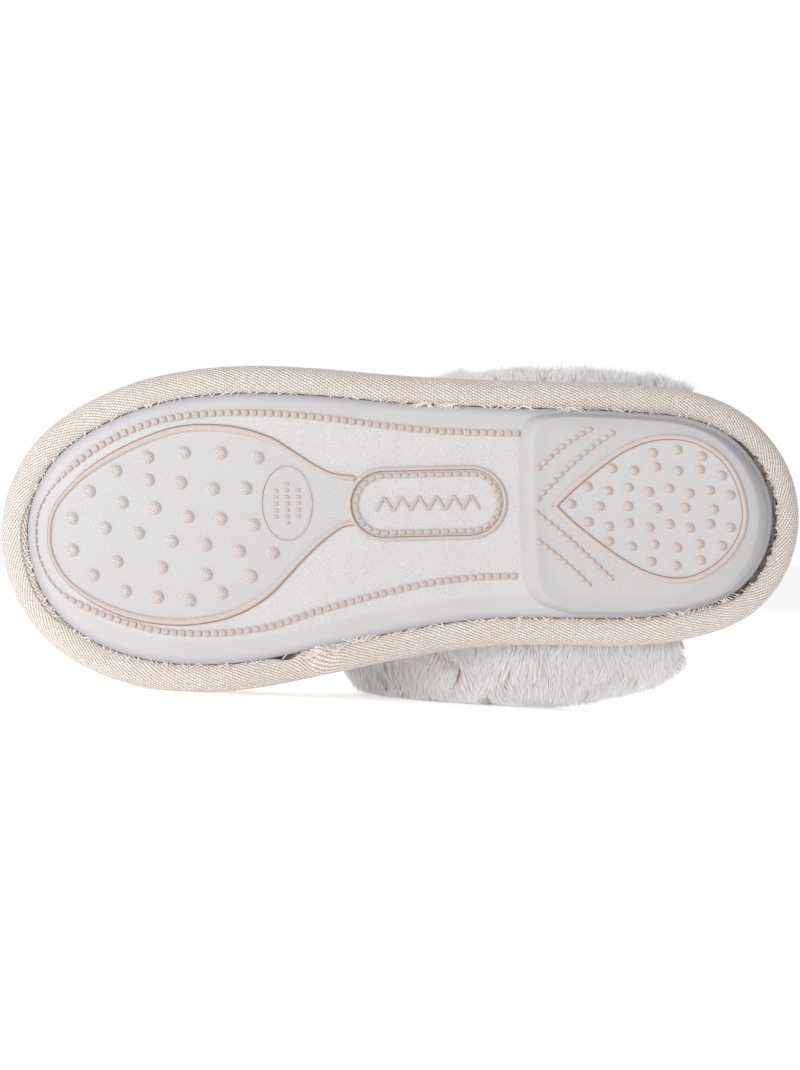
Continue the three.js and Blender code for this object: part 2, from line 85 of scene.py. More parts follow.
# Upper and fur
UPPER_WALL = 2.4
UPPER_INSET = 3.4
INSTEP_HEIGHT = 58.0
UPPER_BULGE = 3.0
TOE_ROUND = 36.0
SECTION_POWER = 2.5
CUFF_POWER = 2.8
MEDIAL_LEAN = 7.0
THROAT_TOP = 132.0
WING_END = 36.0
WING_TUCK = 5.0
CUFF_WIDTH = 22.0
CUFF_SKEW_LATERAL = 20.0
CUFF_SKEW_MEDIAL = 10.0
CUFF_TAPER = 0.3
PILE_LATERAL = 10.5
PILE_MEDIAL = 27.0
PILE_TOP = 12.0
PILE_INSIDE = 6.0
PILE_RIM = 7.0
PILE_HEM = 11.0
PILE_SAG = 0.3
PILE_SKIN = 2.6
FLOOR_CLEARANCE = 0.0002
HAIR_LENGTH = 7.5
LATERAL_CUT = 0.2
HAIR_WIDTH = 0.38
PILE_PIECES = 5
HAIRS_A_PIECE = 48000
CLUMP_STEP = 9.0
HAIR_TURNS = (-0.38 * math.pi, 1.04 * math.pi)
CUFF_RUN = 330.0
CUFF_GIRTH = 24.0
LIGHT_THROUGH = 0.2

# Weave and grain
TWILL_PITCH = 0.92
TWILL_ANGLE = math.radians(27)
THREAD_STEP = 1.0

MM = 0.001
WELD = 2e-6
TURN = 2 * math.pi

# Half widths as shares of the ball width, on a circle stretched to the length
OUTLINE = {
    "along": (0.00, 0.06, 0.12, 0.20, 0.30, 0.40, 0.50, 0.60, 0.70, 0.80, 0.90, 1.00),
    "lateral": (0.665, 0.636, 0.584, 0.513, 0.466, 0.450, 0.460, 0.498, 0.547, 0.597, 0.648, 0.735),
    "medial": (0.700, 0.640, 0.566, 0.493, 0.425, 0.395, 0.416, 0.470, 0.543, 0.614, 0.683, 0.765),
}
# Underside of the plate, as shares of the heel lift and of the toe spring
PLATE_LINE = {
    "along": (0.00, 0.34, 0.48, 0.60, 0.70, 0.80, 0.90, 1.00),
    "heel": (1.00, 1.00, 0.62, 0.18, 0.00, 0.00, 0.00, 0.00),
    "toe": (0.00, 0.00, 0.00, 0.00, 0.00, 0.08, 0.40, 1.00),
}
# Ridge of the upper over the platform, as shares of the instep height
RIDGE_LINE = {
    "along": (0.00, 0.30, 0.42, 0.54, 0.64, 0.74, 0.84, 1.00),
    "rise": (1.30, 1.20, 1.09, 0.96, 0.80, 0.65, 0.54, 0.46),
}
# Top line of the upper, from the wing's end to the throat, as shares of the ridge there
THROAT_LINE = {
    "along": (-0.10, 0.00, 0.18, 0.40, 0.62, 0.80, 0.92, 1.00, 1.05),
    "rise": (-0.12, 0.02, 0.16, 0.30, 0.45, 0.62, 0.80, 1.00, 1.30),
}
# How far the drawn pile trails towards the heel and the middle, in millimetres, at a sweep in radians from
# the medial wing to the lateral one
FUR_TRAIL = {
    "along": (0.00, 0.60, 0.90, 1.10, 1.30, 1.57, 1.95, 2.35, 2.75, 3.14),
    "back": (3.60, 3.60, 3.40, 3.00, 1.80, 0.00, 1.40, 3.40, 6.80, 8.00),
    "in": (0.00, -0.80, -1.70, -3.80, -5.20, -2.00, 2.80, 3.20, 2.40, 2.40),
}
# The twill band's section: inset from the outline and rise over the top of the plate, in millimetres
BAND_SECTION = {
    "along": (0.00, 0.06, 0.12, 0.19, 0.26, 0.33, 0.40, 0.46,
              0.53, 0.61, 0.69, 0.77, 0.85, 0.90, 0.95, 1.00),
    "inset": (8.95, 8.80, 8.05, 6.70, 5.05, 3.30, 1.75, 0.65,
              0.05, -0.15, -0.10, 0.00, 0.70, 1.90, 3.60, 8.00),
    "rise": (0.20, -1.20, -1.95, -2.35, -2.30, -1.85, -0.95, 0.30,
             2.00, 4.50, 7.00, 9.20, 11.40, 12.45, 12.85, 12.80),
}
# The plate's rounded margin: inset from its own edge and rise over its underside, in millimetres
MARGIN_SECTION = {
    "along": (0.00, 0.12, 0.25, 0.40, 0.55, 0.70, 0.85, 1.00),
    "inset": (0.00, 0.00, 0.20, 0.80, 1.90, 3.60, 5.80, 8.50),
    "rise": (2.05, 1.65, 1.22, 0.80, 0.48, 0.23, 0.07, 0.00),
}

# Lines of the tread, as shares of the length from the heel and of the ball width from the middle line
FORE_RIB = {
    "along": (0.556, 0.581, 0.601, 0.630, 0.658, 0.699, 0.742, 0.777, 0.814, 0.852, 0.887, 0.912, 0.930,
              0.937, 0.936, 0.924, 0.907, 0.881, 0.846, 0.812, 0.771, 0.728, 0.696, 0.665, 0.642, 0.616,
              0.593, 0.573, 0.556),
    "across": (0.145, 0.154, 0.177, 0.224, 0.268, 0.302, 0.314, 0.308, 0.281, 0.240, 0.190, 0.137, 0.081,
               0.020, -0.050, -0.117, -0.164, -0.209, -0.249, -0.272, -0.282, -0.271, -0.245, -0.199,
               -0.144, -0.080, -0.032, 0.000, 0.008),
}
HEEL_RIB = {
    "along": (0.308, 0.282, 0.252, 0.222, 0.191, 0.161, 0.130, 0.100, 0.081, 0.072, 0.074, 0.088, 0.112,
              0.140, 0.167, 0.197, 0.228, 0.258, 0.286, 0.308),
    "across": (0.042, 0.102, 0.159, 0.208, 0.238, 0.245, 0.230, 0.182, 0.112, 0.028, -0.042, -0.108, -0.162,
               -0.192, -0.194, -0.172, -0.128, -0.072, -0.014, 0.042),
}
FORE_DASHES = {
    "along": (0.352, 0.449, 0.515, 0.590, 0.660, 0.713, 0.757, 0.794, 0.825, 0.854, 0.881, 0.905, 0.926,
              0.941, 0.951, 0.955, 0.954, 0.947, 0.937, 0.922, 0.901, 0.877, 0.850, 0.822, 0.794, 0.766,
              0.728, 0.696, 0.660, 0.612, 0.544, 0.469, 0.400, 0.360),
    "across": (0.269, 0.283, 0.303, 0.332, 0.352, 0.357, 0.353, 0.341, 0.320, 0.291, 0.255, 0.213, 0.166,
               0.122, 0.075, 0.020, -0.045, -0.100, -0.145, -0.184, -0.217, -0.246, -0.273, -0.295, -0.310,
               -0.318, -0.320, -0.315, -0.302, -0.266, -0.224, -0.187, -0.171, -0.171),
}
# Front of the heel block, from the lateral side to the medial one
BLOCK_FRONT = {
    "along": (0.318, 0.334, 0.345, 0.350, 0.351, 0.351, 0.350, 0.347, 0.338, 0.322, 0.305),
    "across": (0.326, 0.318, 0.292, 0.245, 0.150, 0.000, -0.120, -0.190, -0.240, -0.268, -0.280),
}
# Rows of studs along the sole: each runs from one share to another, with its bow and its zigzag
FORE_STUDS = {
    "count": (4, 5, 6, 7, 5, 5),
    "along": (0.812, 0.852, 0.886, 0.909, 0.909, 0.884),
    "end_along": (0.675, 0.691, 0.682, 0.659, 0.687, 0.724),
    "across": (0.228, 0.186, 0.126, 0.046, -0.052, -0.132),
    "end_across": (0.216, 0.119, 0.014, -0.082, -0.150, -0.201),
    "bow": (0.017, -0.010, -0.014, -0.012, -0.014, -0.040),
    "zigzag": (0.000, 0.004, 0.004, 0.003, 0.003, 0.004),
}
HEEL_STUDS = {
    "count": (3, 6, 8, 6, 8, 6, 3),
    "along": (0.184, 0.235, 0.266, 0.287, 0.266, 0.241, 0.189),
    "end_along": (0.123, 0.099, 0.089, 0.110, 0.090, 0.101, 0.128),
    "across": (0.198, 0.148, 0.093, 0.046, -0.015, -0.076, -0.136),
    "end_across": (0.183, 0.128, 0.068, 0.022, -0.031, -0.088, -0.136),
    "bow": (0.014, 0.010, 0.002, -0.003, -0.004, -0.008, -0.014),
    "zigzag": (0.000, 0.005, 0.006, 0.002, 0.006, 0.005, 0.000),
}
# Beaded chevrons in front of the heel's teardrop
CHEVRONS = {
    "beads": (9, 13, 13, 9),
    "along": (0.326, 0.328, 0.330, 0.327),
    "end_along": (0.262, 0.234, 0.240, 0.268),
    "across": (0.161, 0.066, 0.024, -0.068),
    "end_across": (0.274, 0.262, -0.184, -0.201),
    "bow": (0.010, 0.014, 0.006, 0.006),
}


def read_table(table, column, along):
    """One column of a table at a share of the length, along a smooth curve through its rows."""
    place = np.array(table["along"])
    value = np.array(table[column])
    last = len(place) - 1
    index = np.clip(np.searchsorted(place, along, side="right"), 1, last)
    before, start, end, after = (np.clip(index + step, 0, last) for step in (-2, -1, 0, 1))
    span = place[end] - place[start]
    share = np.clip((along - place[start]) / span, 0, 1)
    leave = (value[end] - value[before]) / (place[end] - place[before]) * span
    arrive = (value[after] - value[start]) / (place[after] - place[start]) * span
    square, cube = share ** 2, share ** 3
    return ((2 * cube - 3 * square + 1) * value[start] + (cube - 2 * square + share) * leave
            + (3 * square - 2 * cube) * value[end] + (cube - square) * arrive)


def blend(start, end, share):
    return start + (end - start) * share


def soft_step(low, high, value):
    share = np.clip((value - low) / (high - low), 0, 1)
    return share * share * (3 - 2 * share)


# Lines that run the length of the standing shoe
def plate_underside(x):
    return (STUD_HEIGHT + HEEL_LIFT * read_table(PLATE_LINE, "heel", x / SHOE_LENGTH)
            + TOE_SPRING * read_table(PLATE_LINE, "toe", x / SHOE_LENGTH))


def plate_top(x):
    return plate_underside(x) + PLATE_THICKNESS


def platform_top(x):
    return plate_top(x) + FIT_GAP + MIDSOLE_THICKNESS


def middle_line(x):
    return -TOE_SWING * (x / SHOE_LENGTH) ** 3


def outline_point(angle):
    """The platform's outline from above, at an angle from the heel through the lateral side."""
    x = SHOE_LENGTH * (1 - np.cos(angle)) / 2
    lateral = read_table(OUTLINE, "lateral", x / SHOE_LENGTH)
    medial = read_table(OUTLINE, "medial", x / SHOE_LENGTH)
    reach = np.where(np.sin(angle) >= 0, lateral, medial) * BALL_WIDTH
    return x, middle_line(x) + reach * np.sin(angle)


def shifted_point(angle, inset):
    step = 0.01
    ahead, behind = outline_point(angle + step), outline_point(angle - step)
    way = np.array([ahead[0] - behind[0], ahead[1] - behind[1]])
    way = way / np.hypot(*way)
    x, y = outline_point(angle)
    return x + way[1] * inset, y - way[0] * inset


def inset_point(angle, inset):
    """The outline moved inwards, with both sides of the shoe at one station."""
    x, y = shifted_point(angle, inset)
    return (x + shifted_point(-angle, inset)[0]) / 2, y


def turned(points):
    """Standing points in millimetres as the shoe lies: toe to -X, lateral side up and sole to -Y."""
    x, y, z = np.asarray(points).T
    cosine, sine = math.cos(REST_PITCH), math.sin(REST_PITCH)
    return np.column_stack((-x * cosine - y * sine, z, -x * sine + y * cosine)) * MM


def resting_place():
    """Where the frame holds the standing shoe's origin, from the platform's and the outsole's boxes."""
    x, y = outline_point(np.arange(CAD_STATIONS) / CAD_STATIONS * TURN)
    ring = turned(np.column_stack((x, y, np.zeros(CAD_STATIONS))))
    low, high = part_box("wrapped_midsole")
    return np.array([high.x - ring[:, 0].max(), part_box("outsole")[0].y, low.z - ring[:, 2].min()])


ORIGIN = resting_place()


def lay_down(points):
    return turned(points) + ORIGIN


# Meshes
def shown(name, data):
    """An object at the origin that holds the data, linked to the scene."""
    thing = bpy.data.objects.new(name, data)
    bpy.context.scene.collection.objects.link(thing)
    return thing


def piece_from(name, mesh, material):
    """A piece of the shoe, which moves with its body."""
    mesh.materials.append(material)
    piece = shown(name, mesh)
    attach(piece, "root")
    return piece


def finished(name, bm, material):
    """Turns a bmesh into a smooth piece of the shoe."""
    mesh = bpy.data.meshes.new(name)
    bm.to_mesh(mesh)
    bm.free()
    for face in mesh.polygons:
        face.use_smooth = True
    return piece_from(name, mesh, material)


def shaped_grid(name, columns, rows, place, weave, material):
    """A piece made from a flat grid, 0 to 1 each way. place moves its points and weave gives its UV map."""
    bm = bmesh.new()
    bmesh.ops.create_grid(bm, x_segments=columns, y_segments=rows, size=0.5)
    bm.verts.index_update()
    u, v = (np.array([vert.co[:2] for vert in bm.verts]) + 0.5).T
    chart = np.column_stack(weave(u, v))
    layer = bm.loops.layers.uv.new("UVMap")
    for face in bm.faces:
        for loop in face.loops:
            loop[layer].uv = chart[loop.vert.index]
    lying = lay_down(np.column_stack(place(u, v)))
    lying[:, 2] = np.maximum(lying[:, 2], 0.0)
    for vert, point in zip(bm.verts, lying):
        vert.co = point
    bmesh.ops.remove_doubles(bm, verts=bm.verts, dist=WELD)
    bmesh.ops.recalc_face_normals(bm, faces=bm.faces)
    return finished(name, bm, material)


def array_mesh(name, points, faces, chart, material, normals=None):
    """A joined mesh of many small things, from arrays of points in metres, faces and a UV place per point."""
    mesh = bpy.data.meshes.new(name)
    sides = faces.shape[1]
    mesh.vertices.add(len(points))
    mesh.vertices.foreach_set("co", points.astype(np.float32).ravel())
    mesh.loops.add(faces.size)
    mesh.loops.foreach_set("vertex_index", faces.astype(np.int32).ravel())
    mesh.polygons.add(len(faces))
    mesh.polygons.foreach_set("loop_start", np.arange(0, faces.size, sides, dtype=np.int32))
    mesh.polygons.foreach_set("use_smooth", np.full(len(faces), True))
    layer = mesh.uv_layers.new(name="UVMap")
    layer.data.foreach_set("uv", chart[faces.ravel()].astype(np.float32).ravel())
    mesh.update()
    if normals is not None:
        mesh.normals_split_custom_set_from_vertices(normals.tolist())
    return piece_from(name, mesh, material)


def arc_length(x, y):
    return np.concatenate(([0.0], np.cumsum(np.hypot(np.diff(x), np.diff(y)))))


def outline_length(angle, samples=2400):
    """Distance along the outline from the heel's tip, in millimetres, for angles of up to a full turn."""
    whole = np.linspace(-TURN, TURN, samples)
    run = arc_length(*outline_point(whole))
    return np.interp(angle, whole, run - np.interp(0.0, whole, run))


class Path:
    """A line on the tread through points in standing millimetres."""

    def __init__(self, x, y):
        self.x, self.y = x, y
        self.run = arc_length(x, y)
        self.length = self.run[-1]

    def point(self, distance):
        return np.interp(distance, self.run, self.x), np.interp(distance, self.run, self.y)

    def heading(self, distance, step=0.8):
        ahead = self.point(np.minimum(distance + step, self.length))
        behind = self.point(np.maximum(distance - step, 0))
        return np.arctan2(ahead[1] - behind[1], ahead[0] - behind[0])


def table_path(table, samples=900):
    """A smooth path through a tread table's rows."""
    along = np.array(table["along"]) * SHOE_LENGTH
    across = middle_line(along) + np.array(table["across"]) * BALL_WIDTH
    rows = {"along": arc_length(along, across), "x": along, "y": across}
    fine = np.linspace(0, rows["along"][-1], samples)
    return Path(read_table(rows, "x", fine), read_table(rows, "y", fine))


def line_path(start, end, bow, samples=60):
    """A straight or slightly bowed path between two tread places."""
    share = np.linspace(0, 1, samples)
    along = blend(start[0], end[0], share) * SHOE_LENGTH
    across = blend(start[1], end[1], share) + bow * np.sin(math.pi * share)
    return Path(along, middle_line(along) + across * BALL_WIDTH)


# Shader maths
class Value:
    """A number that varies over a surface. Arithmetic on it adds Math nodes."""

    def __init__(self, tree, socket):
        self.tree = tree
        self.socket = socket

    def math(self, operation, *others):
        node = self.tree.nodes.new("ShaderNodeMath")
        node.operation = operation
        for slot, value in zip(node.inputs, (self, *others)):
            plug(self.tree, slot, value)
        return Value(self.tree, node.outputs[0])

    def __add__(self, other):
        return self.math("ADD", other)

    def __sub__(self, other):
        return self.math("SUBTRACT", other)

    def __mul__(self, other):
        return self.math("MULTIPLY", other)

    def __rsub__(self, other):
        return self * -1 + other

    __radd__ = __add__
    __rmul__ = __mul__


def plug(tree, slot, value):
    if isinstance(value, Value):
        tree.links.new(value.socket, slot)
    elif hasattr(value, "__len__") and len(value) == 3 and slot.type == "RGBA":
        slot.default_value = (*value, 1.0)
    else:
        slot.default_value = value


class Finish:
    """A material in the making: its Principled shader, whose fixed sockets are set first, and its nodes."""

    def __init__(self, name, **fixed):
        self.material = bpy.data.materials.new(name)
        self.material.use_nodes = True
        self.tree = self.material.node_tree
        self.shader = self.tree.nodes["Principled BSDF"]
        for socket, value in fixed.items():
            plug(self.tree, self.shader.inputs[socket.replace("_", " ")], value)

    def node(self, kind, settings=None, inputs=None, output=0):
        node = self.tree.nodes.new("ShaderNode" + kind)
        for key, value in (settings or {}).items():
            setattr(node, key, value)
        for key, value in (inputs or {}).items():
            plug(self.tree, node.inputs[key], value)
        return Value(self.tree, node.outputs[output])

    def place(self):
        return self.node("TexCoord", output="Object")

    def weave(self):
        chart = self.node("TexCoord", output="UV")
        return [self.node("SeparateXYZ", inputs={0: chart}, output=axis) for axis in (0, 1)]

    def noise(self, scale, detail=2.0, vector=None):
        inputs = {"Vector": vector or self.place(), "Scale": scale, "Detail": detail}
        return self.node("TexNoise", inputs=inputs)

    def step(self, value, low, high):
        inputs = {"Value": value, "From Min": low, "From Max": high}
        return self.node("MapRange", {"interpolation_type": "SMOOTHSTEP"}, inputs)

    def mix(self, factor, first, second):
        inputs = {0: factor, 6: first, 7: second}
        return self.node("Mix", {"data_type": "RGBA"}, inputs, output=2)

    def bump(self, height, strength, distance):
        inputs = {"Height": height, "Strength": strength, "Distance": distance}
        return self.node("Bump", inputs=inputs)

    def done(self, **varied):
        for socket, value in varied.items():
            plug(self.tree, self.shader.inputs[socket.replace("_", " ")], value)
        return self.material


def shade(red, green, blue):
    """A colour as seen, from 0 to 255, in the linear light that shaders work in."""
    return tuple((channel / 255) ** 2.2 for channel in (red, green, blue))


# The wrap's own places, in millimetres round the outline from the heel's tip through the lateral side
WRAP_LENGTH = float(outline_length(TURN))
FOLD_START, FOLD_END = (float(outline_length(angle)) for angle in FOLD_ANGLES)
OVERLAP = float(outline_length(TURN - math.acos(1 - 2 * OVERLAP_STATION / SHOE_LENGTH)))


# Materials
# Rubber tones: two random tones, and a lighter one painted on the pebbles' tops as a painted highlight
RUBBER_TONES = ((198, 195, 196), (206, 203, 203), (216, 213, 213))
# glue brown, with painted shade in the gap between the band and the plate
GLUE_AND_GAP_SHADE = shade(158, 136, 122)
# painted shade for the twill's valleys
VALLEY_SHADE = shade(128, 106, 94)


def moulded_rubber(name, tone):
    """Pale grey rubber: pebbled in the middle, smooth and cooler towards its rounded margin. The pebbles'
    tops are painted lighter, a painted highlight, and the margin is painted darker, a painted shade. tone
    scales all its colours.
    """
    finish = Finish(name, Roughness=0.52, Specular_IOR_Level=0.35)
    margin = finish.weave()[1]
    inner = finish.step(margin, 6.5, 8.5)
    pebbles = finish.noise(2300, 3)
    cloud = finish.noise(45, 2)
    dull, fair, lit = (shade(*(channel * tone for channel in row)) for row in RUBBER_TONES)
    # painted highlight: the pebbles' tops take the lighter tone, over random cloudy tones
    grain_and_highlight = finish.mix(finish.step(pebbles, 0.35, 0.65) * inner, finish.mix(cloud, dull, fair), lit)
    # painted shade: darker and cooler towards the rounded margin, where the surface turns away from the light
    edge = finish.mix(finish.step(margin, 0.0, 3.4), shade(178, 177, 182), grain_and_highlight)
    height = pebbles * inner
    return finish.done(Base_Color=edge, Normal=finish.bump(height, 0.55, 0.00022))


def knurled_rubber():
    """The teardrops' panels: rubber with a fine woven grid of raised points, painted lighter on the points
    and darker between them as painted highlight and painted shade.
    """
    finish = Finish("knurled_rubber", Roughness=0.55, Specular_IOR_Level=0.3)
    across, along = finish.weave()
    pitch = 0.88
    columns = (across * (TURN / pitch)).math("SINE")
    rows = (along * (TURN / pitch) + finish.noise(260, 1) * 3.0).math("SINE")
    points = columns * rows * 0.5 + 0.5
    # painted highlight on the raised points and painted shade in the hollows between them
    colour = finish.mix(points, shade(189, 187, 190), shade(218, 215, 214))
    return finish.done(Base_Color=colour, Normal=finish.bump(points, 0.5, 0.0002))


def painted_rubber():
    """The raised lines' warm beige, with a painted brown shadow at the foot on their inner side."""
    finish = Finish("painted_rubber", Roughness=0.5, Specular_IOR_Level=0.35)
    side = finish.weave()[1]
    tone = finish.mix(finish.noise(700, 2), shade(198, 183, 175), shade(208, 195, 188))
    # painted shadow: brown along the foot of the rib's inner flank
    foot_shadow = finish.step(side, 0.72, 0.95)
    return finish.done(Base_Color=finish.mix(foot_shadow, tone, shade(152, 126, 112)))


def toned_rubber(name, scale, low, high):
    """Rubber of one warm tone, for beads, dashes and studs."""
    finish = Finish(name, Roughness=0.5, Specular_IOR_Level=0.35)
    return finish.done(Base_Color=finish.mix(finish.noise(scale, 2), low, high))


def twill(name, wrap=True):
    """Cream cotton twill on the piece's own UV map, in millimetres: ribs on the bias, with painted shade in
    their valleys.
    """
    finish = Finish(name, Roughness=0.82, Sheen_Weight=0.12, Sheen_Roughness=0.5, Specular_IOR_Level=0.2)
    along, across = finish.weave()
    ribs = 2 * round(WRAP_LENGTH * math.sin(TWILL_ANGLE) / TWILL_PITCH / 2)
    threads = 2 * round(WRAP_LENGTH * math.cos(TWILL_ANGLE) / THREAD_STEP / 2)
    drift = finish.noise(60, 2) * 1.3 + finish.noise(420, 2) * 0.45
    bias = along * (ribs / WRAP_LENGTH)
    fold = 0.0
    if wrap:
        near = finish.step(along, FOLD_START, FOLD_START + 24) * finish.step(along, FOLD_END, FOLD_END - 24)
        fold = finish.step(across - near * FOLD_WIDTH, 0.1, -0.1)
        bias = bias * (1 - fold * 1.7)
        lump = finish.step(along, OVERLAP - 13, OVERLAP - 1) * finish.step(along, OVERLAP + 11, OVERLAP)
        bias = bias + lump * across * 0.35
    rib = across * (math.cos(TWILL_ANGLE) / TWILL_PITCH) - bias + drift
    thread = along * (threads / WRAP_LENGTH) + across * (math.sin(TWILL_ANGLE) / THREAD_STEP)
    crest = (rib * TURN).math("COSINE") * 0.5 + 0.5
    offset = (rib + 0.5).math("FLOOR") * 0.5
    float_end = ((thread + offset) * TURN).math("COSINE") * 0.5 + 0.5
    # painted shade: the valleys between the ribs and the gaps at the floats' ends are painted dark brown
    valley = finish.step(crest, 0.66, 0.16)
    painted_valley_shade = valley * (finish.step(float_end, 0.35, 0.85) * 0.85 + 0.15)
    fleck = finish.step(finish.noise(1500, 2), 0.3, 0.7)
    yarn = finish.mix(fleck, shade(228, 214, 203), shade(254, 250, 244))
    warm = finish.mix(finish.step(finish.noise(110, 3), 0.35, 0.7) * 0.5, yarn, shade(240, 227, 216))
    colour = finish.mix(painted_valley_shade, warm, VALLEY_SHADE)
    height = crest * 0.8 + float_end * crest * 0.5 + finish.noise(2600, 2) * 0.4
    if wrap:
        # painted shade in the toe fold's crease
        crease_shade = fold * finish.step(across - near * FOLD_WIDTH, -0.9, -0.1)
        colour = finish.mix(crease_shade * 0.75, colour, shade(178, 150, 130))
        # the band's inner edge is painted brown: glue, and painted shade in the gap by the plate
        glue_and_gap_shade = finish.step(across, 1.4, 0.5)
        colour = finish.mix(glue_and_gap_shade * 0.7, colour, GLUE_AND_GAP_SHADE)
        height = height + fold * 1.2
    return finish.done(Base_Color=colour, Normal=finish.bump(height, 0.85, 0.0003))


def plush(name, low, high):
    """Short brushed pile, for the footbed and the lining."""
    finish = Finish(name, Roughness=0.95, Sheen_Weight=0.4, Sheen_Roughness=0.6, Specular_IOR_Level=0.15)
    nap = finish.noise(1400, 4)
    tuft = finish.noise(160, 3)
    colour = finish.mix(nap * 0.6 + tuft * 0.4, low, high)
    return finish.done(Base_Color=colour, Normal=finish.bump(nap + tuft * 2.0, 0.6, 0.0006))


def fur_hair(name):
    """Hair along its own UV map: beige at the root and cool white at the tip. Some light goes through it."""
    finish = Finish(name, Roughness=0.75, Sheen_Weight=0.25, Sheen_Roughness=0.4, Specular_IOR_Level=0.2)
    tint, rise = finish.weave()
    tip = finish.mix(tint, shade(245, 245, 246), shade(255, 254, 253))
    root = finish.mix(tint, shade(216, 192, 178), shade(242, 228, 219))
    through = finish.node("BsdfTranslucent", inputs={"Color": shade(246, 243, 240)})
    surface = Value(finish.tree, finish.shader.outputs[0])
    both = finish.node("MixShader", inputs={0: LIGHT_THROUGH, 1: surface, 2: through})
    plug(finish.tree, finish.tree.nodes["Material Output"].inputs["Surface"], both)
    return finish.done(Base_Color=finish.mix(finish.step(rise, 0.1, 0.75), root, tip))


def thread_ends():
    """Frayed yarn: cream, with some ends browned by glue."""
    finish = Finish("thread_ends", Roughness=0.8, Specular_IOR_Level=0.25)
    tint = finish.weave()[0]
    return finish.done(Base_Color=finish.mix(tint, shade(205, 184, 158), shade(250, 244, 235)))


RUBBER = moulded_rubber("moulded_rubber", 1.0)
# the heel block: the same rubber painted darker, as painted shade
SHADED_BLOCK_RUBBER = moulded_rubber("block_rubber_painted_shade", 0.945)
KNURL = knurled_rubber()
PAINTED = painted_rubber()
BEADED = toned_rubber("beaded_rubber", 900, shade(191, 176, 168), shade(205, 193, 186))
STUDDED = toned_rubber("stud_rubber", 600, shade(196, 188, 186), shade(207, 200, 198))
TWILL = twill("cream_twill")
UPPER_TWILL = twill("upper_twill", wrap=False)
FOOTBED_PLUSH = plush("footbed_plush", shade(222, 214, 204), shade(247, 243, 237))
FUR_SKIN = plush("fur_skin", shade(226, 208, 197), shade(247, 240, 235))
FUR_HAIR = fur_hair("fur_hair")
THREADS = thread_ends()


def ring_share(v, rows):
    """The section's share at a grid's rows, and which rows close it before its start and past its end."""
    row = np.rint(v * (rows + 1)) - 1
    return np.clip(row / (rows - 1), 0, 1), row < 0, row > rows - 1


# Outsole
def sole_plate():
    rows = 26

    def place(u, v):
        share, before, past = ring_share(v, rows)
        inset = read_table(MARGIN_SECTION, "inset", share)
        x, y = inset_point(u * TURN, WRAP_LAP + inset)
        z = plate_underside(x) + read_table(MARGIN_SECTION, "rise", share)
        return x, np.where(before | past, middle_line(x), y), z

    def weave(u, v):
        share, _, past = ring_share(v, rows)
        return u * TURN, np.where(past, PEBBLED, read_table(MARGIN_SECTION, "inset", share))

    return shaped_grid("sole_plate", 480, rows + 1, place, weave, RUBBER)


def block_loop(count):
    """The heel block's outline as an even closed loop of points."""
    shoulder = BLOCK_FRONT["along"][0] * SHOE_LENGTH * 0.92
    reach = math.acos(1 - 2 * shoulder / SHOE_LENGTH)
    side_x, side_y = shifted_point(np.linspace(-reach, reach, 90), WRAP_LAP + BLOCK_INSET * 0.55)
    front = table_path(BLOCK_FRONT)
    front_x, front_y = front.point(np.linspace(0, front.length, 40))
    x = np.concatenate((side_x, front_x, side_x[:1]))
    y = np.concatenate((side_y, front_y, side_y[:1]))
    run = arc_length(x, y)
    even = np.linspace(0, run[-1], count, endpoint=False)
    x, y = np.interp(even, run, x), np.interp(even, run, y)
    for _ in range(6):
        x = (np.roll(x, 1) + 2 * x + np.roll(x, -1)) / 4
        y = (np.roll(y, 1) + 2 * y + np.roll(y, -1)) / 4
    return x, y


def heel_block():
    count, rows = 420, 22
    loop_x, loop_y = block_loop(count)
    low, high = loop_x.min(), loop_x.max()
    middle, half = (loop_y.max() + loop_y.min()) / 2, (loop_y.max() - loop_y.min()) / 2
    slope = (BLOCK_REAR_BEVEL + BLOCK_FRONT_BEVEL) / (high - low)

    def place(u, v):
        index = np.rint(u * count).astype(int) % count
        share, before, past = ring_share(v, rows)
        closing = before | past
        inward = share ** 1.3
        x = loop_x[index] + inward * (BLOCK_REAR_BEVEL - slope * (loop_x[index] - low))
        y = middle + (loop_y[index] - middle) * (1 - inward * BLOCK_BEVEL / half)
        fall = (1 - share) ** 2 * (1 + 2 * share) * 0.55 + 0.45 * (1 - share) ** 2
        z = STUD_HEIGHT + (plate_underside(x) + 0.6 - STUD_HEIGHT) * fall
        return np.where(closing, (low + high) / 2, x), np.where(closing, middle, y), z

    def weave(u, v):
        share, _, past = ring_share(v, rows)
        # towards the rear the margin numbers grow more slowly, so the darker rim, a painted shade, and the
        # smooth zone reach further in
        rear = soft_step(40, 14, loop_x[np.rint(u * count).astype(int) % count])
        return u * count, np.where(past, PEBBLED, 1.6 + share * (4.6 - 3.7 * rear))

    return shaped_grid("heel_block", count, rows + 1, place, weave, SHADED_BLOCK_RUBBER)


def block_ground(x):
    return np.full_like(np.asarray(x, float), STUD_HEIGHT)


